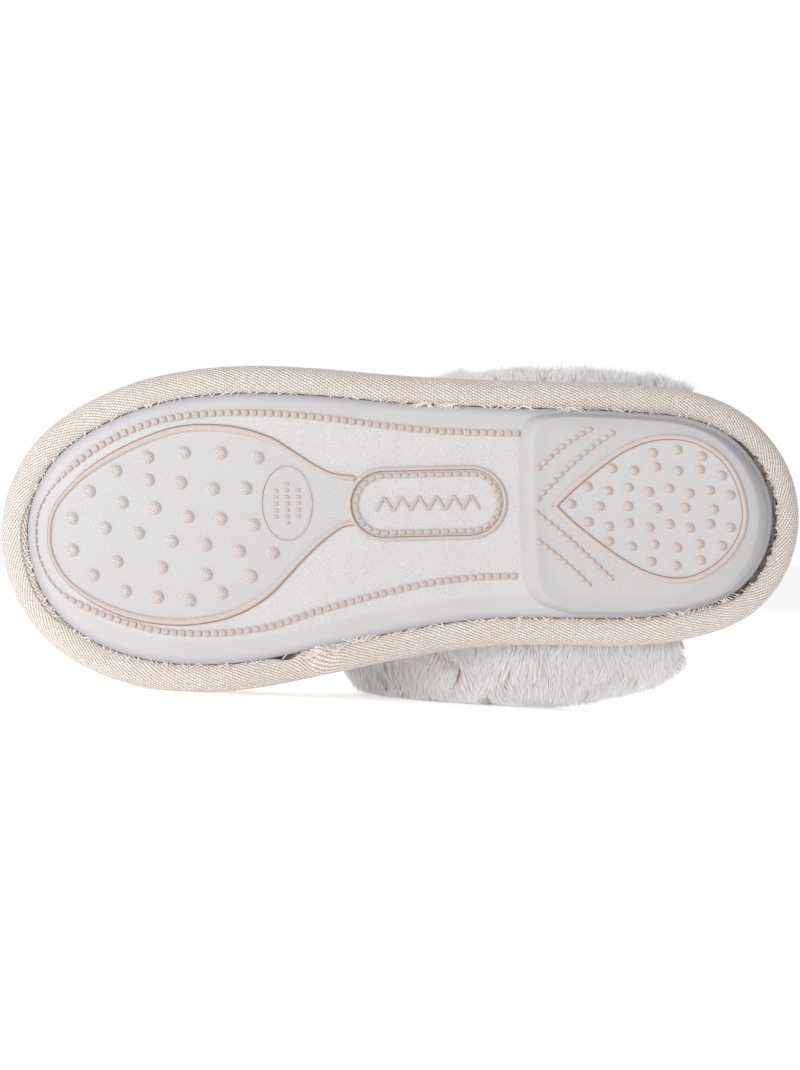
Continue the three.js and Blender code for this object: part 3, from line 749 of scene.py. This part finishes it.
def tread_rib(name, path, width, height, ground, material, closed=False):
    """A rounded rib along a path. width may be a function of the distance along it."""
    count = int(path.length / RIB_STEP)
    section = 12

    def place(u, v):
        distance = u * path.length
        x, y = path.point(distance)
        heading = path.heading(distance)
        if closed:
            wrap = np.where(u > 0.5, u - 1, u) * path.length
            ends = np.abs(wrap) < RIB_SEAM
            first, last = path.point(RIB_SEAM), path.point(path.length - RIB_SEAM)
            heading = np.where(ends, math.atan2(first[1] - last[1], first[0] - last[0]), heading)
        round_turn = v * TURN
        half = (width(x, y) if callable(width) else width) / 2
        side = -np.cos(round_turn) * half
        drop = np.sin(round_turn)
        drop = np.where(drop > 0, drop ** 0.8, drop * 0.5) * height
        return x - np.sin(heading) * side, y + np.cos(heading) * side, ground(x) - drop

    def weave(u, v):
        side = -np.cos(v * TURN) * 0.5 + 0.5
        return u * path.length, side

    return shaped_grid(name, count, section, place, weave, material)


def panel(name, path, ground, lift=0.06):
    """A thin patch that fills a teardrop's rib, with the knurled grid on it."""
    centre = (path.x.mean(), path.y.mean())
    edge = Path(np.append(path.x, path.x[0]), np.append(path.y, path.y[0]))
    columns, rings = 160, 24

    def place(u, v):
        x, y = edge.point(u * edge.length)
        x = blend(centre[0], x, v)
        y = blend(centre[1], y, v)
        return x, y, ground(x) - lift

    def weave(u, v):
        x, y, _ = place(u, v)
        return y, x

    return shaped_grid(name, columns, rings, place, weave, KNURL)


def stamped(name, shape, spots, ground, material):
    """Copies of a small shape on the tread. A spot has its x, y, heading, length and width; +Z stands up."""
    points = np.array([vert.co[:] for vert in shape.verts])
    bmesh.ops.triangulate(shape, faces=shape.faces)
    shape.verts.index_update()
    faces = np.array([[vert.index for vert in face.verts] for face in shape.faces])
    shape.free()
    x0, y0, heading, length, width = (column[:, None] for column in np.array(spots).T)
    along, across = points[:, 0] * length, points[:, 1] * width
    x = x0 + along * np.cos(heading) - across * np.sin(heading)
    y = y0 + along * np.sin(heading) + across * np.cos(heading)
    z = ground(x) - points[:, 2] * np.sqrt(width)
    standing = np.column_stack((x.ravel(), y.ravel(), z.ravel()))
    offsets = np.arange(len(spots))[:, None, None] * len(points)
    flipped = (faces[None, :, ::-1] + offsets).reshape(-1, 3)
    chart = np.zeros((len(standing), 2))
    return array_mesh(name, lay_down(standing), flipped, chart, material)


def pillow(length, width, height):
    """A raised dash with rounded edges and corners."""
    shape = bmesh.new()
    bmesh.ops.create_cube(shape, size=1.0)
    bmesh.ops.scale(shape, vec=(length, width, height * 2), verts=shape.verts)
    edges = list(shape.edges)
    bmesh.ops.bevel(shape, geom=edges, offset=min(width, length) * 0.18, affect="EDGES", segments=2,
                    profile=0.5, material=-1)
    return shape


def dome(length, width, height, detail=3):
    shape = bmesh.new()
    bmesh.ops.create_icosphere(shape, subdivisions=detail, radius=1.0)
    bmesh.ops.scale(shape, vec=(length / 2, width / 2, height), verts=shape.verts)
    return shape


def path_spots(path, pitch, narrow=None):
    """Even places along a path. narrow gives the width there."""
    count = int(round(path.length / pitch)) + 1
    distance = np.linspace(0, path.length, count)
    x, y = path.point(distance)
    width = np.ones(count) if narrow is None else narrow(x)
    return np.column_stack((x, y, path.heading(distance), np.ones(count), width))


def stud_spots(rows):
    spots = []
    for row in zip(*rows.values()):
        count, along, end_along, across, end_across, bow, zigzag = row
        for index in range(count):
            share = index / (count - 1)
            x = blend(along, end_along, share) * SHOE_LENGTH
            swing = bow * math.sin(math.pi * share) + zigzag * (-1) ** index
            y = middle_line(x) + (blend(across, end_across, share) + swing) * BALL_WIDTH
            spots.append((x, y, index * 1.1 + count, 1.0, 1.0))
    return spots


def pill_path(middle, across, length, width):
    half = (length - width) / 2
    arc = np.linspace(-math.pi / 2, math.pi / 2, 40)
    x = np.concatenate((middle + half + np.cos(arc) * width / 2, middle - half - np.cos(arc) * width / 2))
    y = np.concatenate((across + np.sin(arc) * width / 2, across - np.sin(arc) * width / 2))
    return Path(np.append(x, x[0]), np.append(y, y[0]))


def oval_path(middle, across, half_along, half_across):
    turn = np.linspace(0, TURN, 121)
    return Path(middle + np.cos(turn) * half_along, across + np.sin(turn) * half_across)


PILL = {"middle": 121.0, "across": 6.3, "length": 50.5, "width": 22.6}
OVAL = {"middle": 166.4, "across": 7.3, "half_along": 8.1, "half_across": 12.1}


def fore_rib_width(x, y):
    """The forefoot's rib is broad along both sides of the ball and thin at its two ends."""
    toe = soft_step(SHOE_LENGTH * 0.84, SHOE_LENGTH * 0.935, x)
    waist = soft_step(SHOE_LENGTH * 0.70, SHOE_LENGTH * 0.60, x)
    return 2.4 - 1.1 * toe - 0.7 * waist


def tread():
    fore_path, heel_path = table_path(FORE_RIB), table_path(HEEL_RIB)
    tread_rib("fore_rib", fore_path, fore_rib_width, 0.85, plate_underside, PAINTED)
    tread_rib("heel_rib", heel_path, 1.9, 0.75, block_ground, PAINTED)
    panel("fore_panel", fore_path, plate_underside)
    panel("heel_panel", heel_path, block_ground)
    pill = pill_path(**PILL)
    tread_rib("pill_rib", pill, 1.5, 0.85, plate_underside, PAINTED, closed=True)
    tread_rib("oval_rib", oval_path(**OVAL), 0.55, 0.4, plate_underside, PAINTED, closed=True)
    inner = pill_path(PILL["middle"], PILL["across"], PILL["length"] - 4.2, PILL["width"] - 4.2)
    dashes = path_spots(inner, 2.75)[:-1]
    stamped("pill_dashes", pillow(2.3, 1.6, 0.6), dashes, plate_underside, BEADED)
    narrow = lambda x: 1.0 - 0.68 * soft_step(SHOE_LENGTH * 0.895, SHOE_LENGTH * 0.938, x)
    dashes = path_spots(table_path(FORE_DASHES), 2.68, narrow)
    stamped("fore_dashes", pillow(2.15, 2.05, 0.65), dashes, plate_underside, BEADED)
    beads = []
    for index, chevron in enumerate(zip(*CHEVRONS.values())):
        count, along, end_along, across, end_across, bow = chevron
        line = line_path((along, across), (end_along, end_across), bow)
        tread_rib(f"chevron_{index + 1}", line, 0.9, 0.35, block_ground, BEADED)
        beads.extend(path_spots(line, line.length / (count - 1)))
    stamped("chevron_beads", dome(2.3, 1.75, 0.75, 2), beads, block_ground, BEADED)
    fore = stud_spots(FORE_STUDS)
    stamped("fore_studs", dome(4.3, 4.3, 1.2), fore, plate_underside, STUDDED)
    stamped("heel_studs", dome(3.1, 3.1, 1.1), stud_spots(HEEL_STUDS), block_ground, BEADED)
    stamped("stud_specks", dome(0.66, 0.66, 0.3, 1), speck_spots(fore), speck_ground, BEADED)
    stamped("pill_waves", pillow(5.2, 0.95, 0.55), wave_spots(), plate_underside, BEADED)
    stamped("oval_bars", pillow(1.6, 1.2, 0.4), bar_spots(), plate_underside, BEADED)


def speck_spots(studs):
    """Seven tiny points on each forefoot stud: one on its crown and six round it."""
    spots = []
    for x, y, turn, *_ in studs:
        spots.append((x, y, 0.0, 1.0, 1.0))
        for index in range(6):
            angle = turn + index * TURN / 6
            off_x, off_y = math.cos(angle) * SPECK_REACH, math.sin(angle) * SPECK_REACH
            spots.append((x + off_x, y + off_y, 0.0, 1.0, 0.9))
    return spots


def speck_ground(x):
    return plate_underside(x) - SPECK_RISE


def wave_spots():
    """A plain zigzag of short bars along the pill."""
    count, reach = 12, 15.5
    spots = []
    for index in range(count):
        x = PILL["middle"] + blend(-reach, reach, index / (count - 1))
        heading = math.radians(58) * (-1) ** index
        spots.append((x, PILL["across"], heading, 1.0, 1.0))
    return spots


def bar_spots():
    """Three plain columns of short bars in the oval."""
    spots = []
    for column, count in ((-3.6, 5), (0.0, 7), (3.6, 5)):
        for index in range(count):
            y = OVAL["across"] + (index - (count - 1) / 2) * 2.1
            spots.append((OVAL["middle"] + column, y, 0.0, 1.0, 1.0))
    return spots


# Wrapped platform
def band():
    columns, rows = 720, 44

    def place(u, v):
        angle = u * TURN
        share, before, past_end = ring_share(v, rows)
        inset = read_table(BAND_SECTION, "inset", share)
        rise = read_table(BAND_SECTION, "rise", share)
        signed = np.where(angle > math.pi, angle - TURN, angle)
        run = outline_length(signed)
        heel = soft_step(*HEEL_FRAY, np.abs(signed + 0.07))
        inner = soft_step(0.20, 0.02, share)
        ruffle = np.sin(run * 0.62) * 0.45 + np.sin(run * 1.37 + 1.0) * 0.35 + np.sin(run * 2.3) * 0.2
        inset = inset - heel * inner * (2.0 + ruffle) - inner * 0.12 * np.sin(run * 0.9)
        rise = rise - heel * inner * 0.5 * (1 + np.sin(run * 0.8 + 0.6))
        past = np.where(signed < 0, run + WRAP_LENGTH, run) - OVERLAP
        lip = soft_step(0.50, 0.12, share)
        lump = np.exp(-(past / 8.0) ** 2) * lip
        crest = soft_step(-0.7, 0.9, past) * np.exp(-np.maximum(past, 0) / 6.0) * lip
        opening = np.exp(-((past + 8.5) / 4.0) ** 2) * inner
        inset = inset + lump * (1.1 + 0.5 * np.sin(past * 0.8)) - opening * 2.2
        rise = rise - lump * (0.5 + 0.4 * np.sin(past * 0.9 + 1.0)) - crest * 0.7
        body = soft_step(0.12, 0.26, share) * soft_step(0.62, 0.40, share)
        lumps = np.sin(run * 0.115 + 0.8) * 0.16 + np.sin(run * 0.31) * 0.10 + np.sin(run * 0.83) * 0.05
        inset = inset + body * lumps
        x, y = inset_point(angle, inset)
        return x, np.where(before | past_end, middle_line(x), y), plate_top(x) + rise

    def weave(u, v):
        share, before, _ = ring_share(v, rows)
        marks = np.linspace(0, 1, rows)
        run = arc_length(read_table(BAND_SECTION, "inset", marks), read_table(BAND_SECTION, "rise", marks))
        return outline_length(u * TURN), np.where(before, -8.0, np.interp(share, marks, run))

    piece = shaped_grid("twill_band", columns, rows + 1, place, weave, TWILL)
    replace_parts(piece, "wrapped_midsole")


def raw_edge():
    """The wrap's raw edge, which ruffles free of the outsole round the heel."""
    columns, rows = 300, 5

    def place(u, v):
        angle = blend(*RAW_EDGE, u)
        run = outline_length(angle)
        wave = np.sin(run * 0.93) * 0.55 + np.sin(run * 2.1 + 0.8) * 0.35 + np.sin(run * 0.41 + 2.0) * 0.4
        free = np.sin(math.pi * np.clip(u, 0, 1)) ** 0.5
        inset = blend(6.0, 7.35 + 0.75 * wave * free, v)
        flare = np.sin(run * 1.45 + 0.5) * 0.45 * v * free
        x, y = inset_point(angle, inset)
        return x, y, plate_top(x) - 2.15 - 0.35 * np.sin(math.pi * v) + 0.5 * v - flare

    def weave(u, v):
        return outline_length(blend(*RAW_EDGE, u)) * 1.1 + 40, v * 2.0 + 3.2

    piece = shaped_grid("raw_edge", columns, rows, place, weave, TWILL)


EDGE_THREADS = 340
TUFTS = {
    "station": (119.7, 112.2, 74.3, 142.9, 38.4, 20.0),
    "side": (1, 1, 1, -1, -1, -1),
}
TUFT_THREADS = 16
OVERLAP_THREADS = 34


def frayed_threads():
    """Yarn ends that stand out of the wrap's inner edge, thickest at its tufts and at the overlap."""
    rng = np.random.default_rng(7)
    place = rng.uniform(0, WRAP_LENGTH, EDGE_THREADS)
    size = rng.uniform(0.4, 1.0, EDGE_THREADS)
    for station, side in zip(TUFTS["station"], TUFTS["side"]):
        angle = math.acos(1 - 2 * station / SHOE_LENGTH)
        middle = outline_length(angle if side > 0 else TURN - angle)
        place = np.append(place, middle + rng.normal(0, 2.0, TUFT_THREADS))
        size = np.append(size, rng.uniform(0.8, 2.0, TUFT_THREADS))
    at_overlap = len(place) + np.arange(OVERLAP_THREADS)
    beside = rng.choice((-3.0, 4.5), OVERLAP_THREADS)
    place = np.append(place, OVERLAP + beside + rng.normal(0, 1.3, OVERLAP_THREADS))
    size = np.append(size, rng.uniform(0.8, 2.2, OVERLAP_THREADS))
    count = len(place)
    fine = np.linspace(0, TURN, 4000)
    angle = np.interp(place, outline_length(fine), fine)
    sway = rng.normal(0, 0.010, count)
    tint = rng.uniform(0.35, 1.0, count)
    tint[at_overlap] = rng.uniform(0.0, 0.9, OVERLAP_THREADS)
    heel = soft_step(*HEEL_FRAY, np.minimum(angle, TURN - angle))
    edge = 8.1 - 1.6 * heel
    start = np.where(np.arange(count) >= at_overlap[0], -1.6, 0.0)
    paths = []
    for share in (0.0, 0.35, 0.7, 1.0):
        inset = edge + start + share * (0.8 + size)
        x, y = inset_point(angle + sway * share * (1 + size), inset)
        lift = 2.25 + 0.45 * np.sin(math.pi * share) - 0.2 * share + rng.uniform(0, 0.25, count)
        paths.append(np.column_stack((x, y, plate_top(x) - lift - np.where(start < 0, 0.8, 0.0))))
    paths = np.stack(paths, axis=1)
    sides = unit(np.cross(paths[:, 3] - paths[:, 0], np.array([[0.0, 0.0, -1.0]])))
    ribbons("frayed_threads", paths, rng.uniform(0.2, 0.34, count), sides, tint, THREADS)


# Insole
def footbed():
    columns, rows = 240, 14
    edge = UPPER_INSET + UPPER_WALL + FIT_GAP * 2
    section = {
        "along": (0.0, 0.15, 0.30, 0.45, 0.60, 0.80, 1.0),
        "inset": (1.0, 0.1, 0.0, 0.4, 1.6, 4.0, 12.0),
        "rise": (0.0, 0.6, 2.3, 3.8, 4.5, 4.35, 4.05),
    }

    def place(u, v):
        share, before, past = ring_share(v, rows)
        x, y = inset_point(u * TURN, edge + read_table(section, "inset", share))
        z = platform_top(x) + FIT_GAP + read_table(section, "rise", share)
        z = z - np.where(past, INSOLE_DISH * np.abs(np.sin(u * TURN)), 0)
        return x, np.where(before | past, middle_line(x), y), z

    piece = shaped_grid("footbed", columns, rows + 1, place, lambda u, v: (u, v), FOOTBED_PLUSH)
    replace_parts(piece, "insole")


# Upper
THROAT_SPAN = THROAT_TOP - WING_END


def ridge(x, shrink=0.0):
    full = INSTEP_HEIGHT * read_table(RIDGE_LINE, "rise", x / SHOE_LENGTH) - shrink
    share = np.clip((SHOE_LENGTH - UPPER_INSET - shrink - x) / TOE_ROUND, 0, 1)
    return full * np.sqrt(1 - (1 - share) ** 2)


def upper_foot(x):
    return platform_top(x) + FIT_GAP


def upper_point(angle, turn, shrink=0.0):
    """A point on the upper's outer form. The turn runs from the platform to the ridge, a quarter circle."""
    x, y = inset_point(angle, UPPER_INSET + shrink)
    power = 2 / SECTION_POWER
    rise = np.sin(turn) ** power
    spread = np.maximum(np.cos(turn), 0) ** power
    middle = middle_line(x)
    belly = np.sign(y - middle) * UPPER_BULGE * np.sin(2 * turn) * np.abs(np.sin(angle))
    across = middle - MEDIAL_LEAN * rise + (y - middle) * spread + belly
    return np.stack([x, across, upper_foot(x) + rise * ridge(x, shrink)], axis=-1)


def throat_rise(x):
    return np.clip(read_table(THROAT_LINE, "rise", (x - WING_END) / THROAT_SPAN), 0, 1)


def upper_sheet(name, wall, material):
    """One face of the upper's wall. It meets the other face at the throat and at the wings' ends."""
    start = math.acos(1 - 2 * (WING_END + WING_TUCK) / SHOE_LENGTH)

    def place(u, v):
        angle = blend(start, TURN - start, u)
        signed = np.where(angle > math.pi, angle - TURN, angle)
        x, _ = inset_point(signed, UPPER_INSET)
        top = np.where(x > THROAT_TOP, math.pi / 2, np.arcsin(throat_rise(x) ** (SECTION_POWER / 2)))
        ends = soft_step(0.0, 0.02, np.minimum(u, 1 - u))
        apart = np.where(x > THROAT_TOP, 1.0, soft_step(1.0, 0.9, v)) * ends
        return upper_point(signed, v * top, wall * apart).T

    def weave(u, v):
        return outline_length(blend(start, TURN - start, u)), v * 70.0 + 3.0

    piece = shaped_grid(name, 260, 40, place, weave, material)
    return piece


def upper():
    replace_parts(upper_sheet("upper", 0.0, UPPER_TWILL), "vamp")
    upper_sheet("upper_lining", UPPER_WALL, FOOTBED_PLUSH).data.flip_normals()


# Fur cuff
def signed_angle(x, sweep):
    side = np.where(np.cos(sweep) >= 0, -1.0, 1.0)
    return side * np.arccos(np.clip(1 - 2 * x / SHOE_LENGTH, -1, 1))


def top_line_place(sweep):
    x = WING_END + THROAT_SPAN * np.sin(sweep)
    return signed_angle(x, sweep), np.arcsin(throat_rise(x) ** (SECTION_POWER / 2))


def hem_place(sweep):
    along = np.sin(sweep)
    reach = np.where(np.cos(sweep) >= 0, -CUFF_SKEW_MEDIAL, CUFF_SKEW_LATERAL)
    skew = reach * np.abs(np.sin(2 * sweep))
    x = WING_END + THROAT_SPAN * along + CUFF_WIDTH * along ** 3 - skew * along ** 2
    return signed_angle(x, sweep), math.pi / 2 * along ** 8


def unit(vectors):
    return vectors / np.maximum(np.linalg.norm(vectors, axis=-1, keepdims=True), 1e-9)


def cuff_point(sweep, turn, swell, shrink=0.0):
    """A point on the cuff's skin, at a sweep along the top line and a turn round the section."""
    step = 0.03
    top, hem = upper_point(*top_line_place(sweep)), upper_point(*hem_place(sweep))
    ahead = upper_point(*top_line_place(sweep + step)) + upper_point(*hem_place(sweep + step))
    behind = upper_point(*top_line_place(sweep - step)) + upper_point(*hem_place(sweep - step))
    run = unit(ahead - behind)
    down = hem - top
    reach = np.linalg.norm(down, axis=-1) / 2
    down = unit(down)
    over = np.sin(sweep) ** 4
    out = np.cross(down, run)
    out[..., 2] *= over
    out = unit(out)
    middle = (top + hem) / 2
    (top_angle, top_turn), (hem_angle, hem_turn) = top_line_place(sweep), hem_place(sweep)
    backing = upper_point((top_angle + hem_angle) / 2, (top_turn + hem_turn) / 2)
    bow = np.sum((backing - middle) * out, axis=-1)
    side_pile = np.where(np.cos(sweep) >= 0, PILE_MEDIAL, PILE_LATERAL)
    pile = blend(side_pile, PILE_TOP, over) + bow - shrink
    thick = np.where(np.sin(turn) >= 0, pile, PILE_INSIDE - bow)
    blunt = lambda value: np.sign(value) * np.abs(value) ** (2 / CUFF_POWER)
    drop = -blunt(np.cos(turn))
    rim = np.where(drop > 0, blend(PILE_HEM, PILE_RIM, over), PILE_RIM) - shrink
    along = (drop * (reach + rim) * swell)[..., None]
    outward = (blunt(np.sin(turn)) * thick * (1 + PILE_SAG * drop) * swell)[..., None]
    back, inward = (read_table(FUR_TRAIL, column, sweep) for column in ("back", "in"))
    trail = np.stack([back, inward, 0.0 * sweep], axis=-1)
    return middle + down * along + out * outward - trail


def cuff_sweep(share):
    return np.radians(blend(4.0, 176.0, share))


def cuff_swell(share):
    inside = np.clip(share, 0, 1)
    return np.where((share <= 0) | (share >= 1), 0.0, np.sin(math.pi * inside) ** CUFF_TAPER)


def fur_skin():
    columns, rows = 64, 160

    def place(u, v):
        row = np.rint(v * rows)
        share = (1 - np.cos(math.pi * row / rows)) / 2
        turn = np.where(np.rint(u * columns) == columns, 0.0, u * TURN)
        return cuff_point(cuff_sweep(share), turn, cuff_swell(share), PILE_SKIN).T

    piece = shaped_grid("fur_skin", columns, rows, place, lambda u, v: (u, v), FUR_SKIN)
    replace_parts(piece, "fur_cuff")


def ribbons(name, paths, widths, sides, tint, material, facing=None):
    """Tapered ribbons from arrays. paths has points from root to tip for each, in standing millimetres."""
    count, steps = paths.shape[0], paths.shape[1] - 1
    points = []
    for index in range(steps):
        half = sides * (widths * (1 - 0.45 * (index / steps) ** 2) / 2)[:, None]
        points += [paths[:, index] - half, paths[:, index] + half]
    points.append(paths[:, steps])
    size = len(points)
    cloud = np.stack(points, axis=1).reshape(-1, 3)
    pattern = []
    for index in range(0, 2 * steps - 2, 2):
        pattern += [[index, index + 1, index + 3], [index, index + 3, index + 2]]
    pattern.append([size - 3, size - 2, size - 1])
    faces = (np.array(pattern)[None] + np.arange(count)[:, None, None] * size).reshape(-1, 3)
    rise = np.tile(np.append(np.repeat(np.arange(steps) / steps, 2), 1.0), count)
    chart = np.column_stack((np.repeat(tint, size), rise))
    normals = None if facing is None else np.repeat(turned(facing) / MM, size, axis=0)
    lying = lay_down(cloud)
    lying[:, 2] = np.maximum(lying[:, 2], FLOOR_CLEARANCE)
    return array_mesh(name, lying, faces, chart, material, normals)


def scattered(shape, salt):
    """Numbers from 0 to 1 for whole-number keys, the same in every run."""
    value = np.sin(shape * 12.9898 + salt * 78.233) * 43758.5453
    return value - np.floor(value)


def fur_pile(index):
    rng = np.random.default_rng(100 + index)
    share = rng.uniform(0.004, 0.996, HAIRS_A_PIECE * 2)
    turn = rng.uniform(*HAIR_TURNS, HAIRS_A_PIECE * 2)
    tiny = 1e-3
    point = lambda s, t: cuff_point(cuff_sweep(s), t, cuff_swell(s), PILE_SKIN)
    root = point(share, turn)
    along = (point(share + tiny, turn) - root) / tiny
    down = (point(share, turn + tiny) - root) / tiny
    area = np.linalg.norm(np.cross(along, down), axis=1)
    limit = np.quantile(area, 0.97)
    keep = rng.uniform(0, 1, len(share)) < area / limit
    chosen = np.flatnonzero(keep)[:HAIRS_A_PIECE]
    share, turn, root, along, down = (values[chosen] for values in (share, turn, root, along, down))
    out = unit(np.cross(along, down))
    centre = cuff_point(cuff_sweep(share), turn, 0.0 * share, PILE_SKIN)
    out = out * np.sign(np.sum(out * (root - centre), axis=1))[:, None]
    flow = 1 - 2 * soft_step(0.35 * math.pi, 0.80 * math.pi, turn)
    hang = unit(down) * flow[:, None]
    run = unit(along)
    cell_a = np.floor(share * CUFF_RUN / CLUMP_STEP + 0.7 * np.sin(turn * 7))
    cell_b = np.floor(turn * CUFF_GIRTH / CLUMP_STEP + 0.7 * np.sin(share * 60))
    key = cell_a * 57 + cell_b
    sway = (scattered(key, 1) - 0.5)[:, None]
    lean = (scattered(key, 2) - 0.5)[:, None]
    tall = (0.88 + 0.24 * scattered(key, 3))[:, None]
    loose = rng.normal(0, 0.09, (len(share), 3))
    short = 0.74 + 0.26 * np.abs(flow)
    length = HAIR_LENGTH * tall * (short * rng.uniform(0.78, 1.1, len(share)))[:, None]
    length = length * (1 - LATERAL_CUT * soft_step(0.5, 0.62, share) * soft_step(0.86, 0.74, share))[:, None]
    start = unit(out * 0.62 + hang * (0.75 + 0.4 * lean) + run * sway * 0.8 + loose)
    finish = unit(out * 0.08 + hang * (1.0 + 0.6 * lean) + run * sway * 1.2 + loose * 1.2)
    paths = [root]
    for bend in (0.2, 0.8):
        paths.append(paths[-1] + unit(blend(start, finish, bend)) * length / 2)
    paths = np.stack(paths, axis=1)
    reach = paths[:, -1] - paths[:, 0]
    sides = unit(unit(np.cross(reach, out)) + rng.normal(0, 0.3, (len(share), 3)))
    sides = sides * np.sign(np.sum(np.cross(sides, reach) * out, axis=1))[:, None]
    crown = point(share, 0.0 * turn + math.pi / 2)
    flat = unit(np.cross(sides, reach))
    facing = unit(0.7 * out + 0.5 * unit(crown - centre) + 0.5 * flat + run * sway * 0.4)
    widths = HAIR_WIDTH * rng.uniform(0.6, 1.3, len(share))
    tint = np.clip(0.5 * scattered(key, 4) + 0.5 * rng.uniform(0, 1, len(share)), 0, 1)
    piece = ribbons(f"fur_pile_{index + 1}", paths, widths, sides, tint, FUR_HAIR, facing)


# Studio
CAMERA_AZIMUTH = math.radians(0.0)
CAMERA_ROLL = math.radians(3.2)
CAMERA_DISTANCE = 1.10
CAMERA_LENS = 113.6
CAMERA_AIM = Vector((0.0002, -0.034, 0.0546))
AMBIENT = 0.54


def camera():
    data = bpy.data.cameras.new("camera")
    data.lens = CAMERA_LENS
    data.clip_start = 0.05
    eye = shown("camera", data)
    back = Vector((math.sin(CAMERA_AZIMUTH), -math.cos(CAMERA_AZIMUTH), 0))
    level = Vector((math.cos(CAMERA_AZIMUTH), math.sin(CAMERA_AZIMUTH), 0))
    right = level * math.cos(CAMERA_ROLL) + Vector((0, 0, math.sin(CAMERA_ROLL)))
    rise = back.cross(right)
    turn = Matrix((right, rise, back)).transposed().to_4x4()
    turn.translation = CAMERA_AIM + back * CAMERA_DISTANCE
    eye.matrix_world = turn
    bpy.context.scene.camera = eye


def area_light(name, place, aim, size, power):
    data = bpy.data.lights.new(name, "AREA")
    data.size = size
    data.energy = power
    lamp = shown(name, data)
    lamp.location = place
    lamp.rotation_euler = (Vector(aim) - Vector(place)).to_track_quat("-Z", "Y").to_euler()


def studio():
    bm = bmesh.new()
    bmesh.ops.create_grid(bm, x_segments=1, y_segments=1, size=20.0)
    mesh = bpy.data.meshes.new("floor")
    bm.to_mesh(mesh)
    bm.free()
    paint = Finish("floor_paint", Base_Color=(0.93, 0.93, 0.93, 1.0), Roughness=0.9, Specular_IOR_Level=0.1,
                   Emission_Color=(1.0, 1.0, 1.0, 1.0), Emission_Strength=0.42)
    mesh.materials.append(paint.material)
    floor = shown("floor", mesh)
    world = bpy.data.worlds.new("studio")
    world.use_nodes = True
    tree = world.node_tree
    ground = tree.nodes["Background"]
    ground.inputs["Color"].default_value = (1.0, 1.0, 1.0, 1.0)
    seen = Value(tree, tree.nodes.new("ShaderNodeLightPath").outputs["Is Camera Ray"])
    plug(tree, ground.inputs["Strength"], seen * (1 - AMBIENT) + AMBIENT)
    bpy.context.scene.world = world
    bpy.context.scene.view_settings.view_transform = "Standard"
    area_light("key", (-1.10, -1.10, 0.40), (0, 0, 0.05), 0.7, 13.0)
    area_light("rim", (0.8, 1.3, 1.2), (0, 0, 0.05), 1.0, 5)
    area_light("back_fill", (-0.3, 1.4, 0.50), (0, 0, 0.06), 1.2, 9)


def outsole():
    plate = sole_plate()
    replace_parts(plate, "outsole")
    heel_block()
    tread()


camera()
studio()
outsole()
band()
raw_edge()
frayed_threads()
footbed()
upper()
fur_skin()
for number in range(PILE_PIECES):
    fur_pile(number)
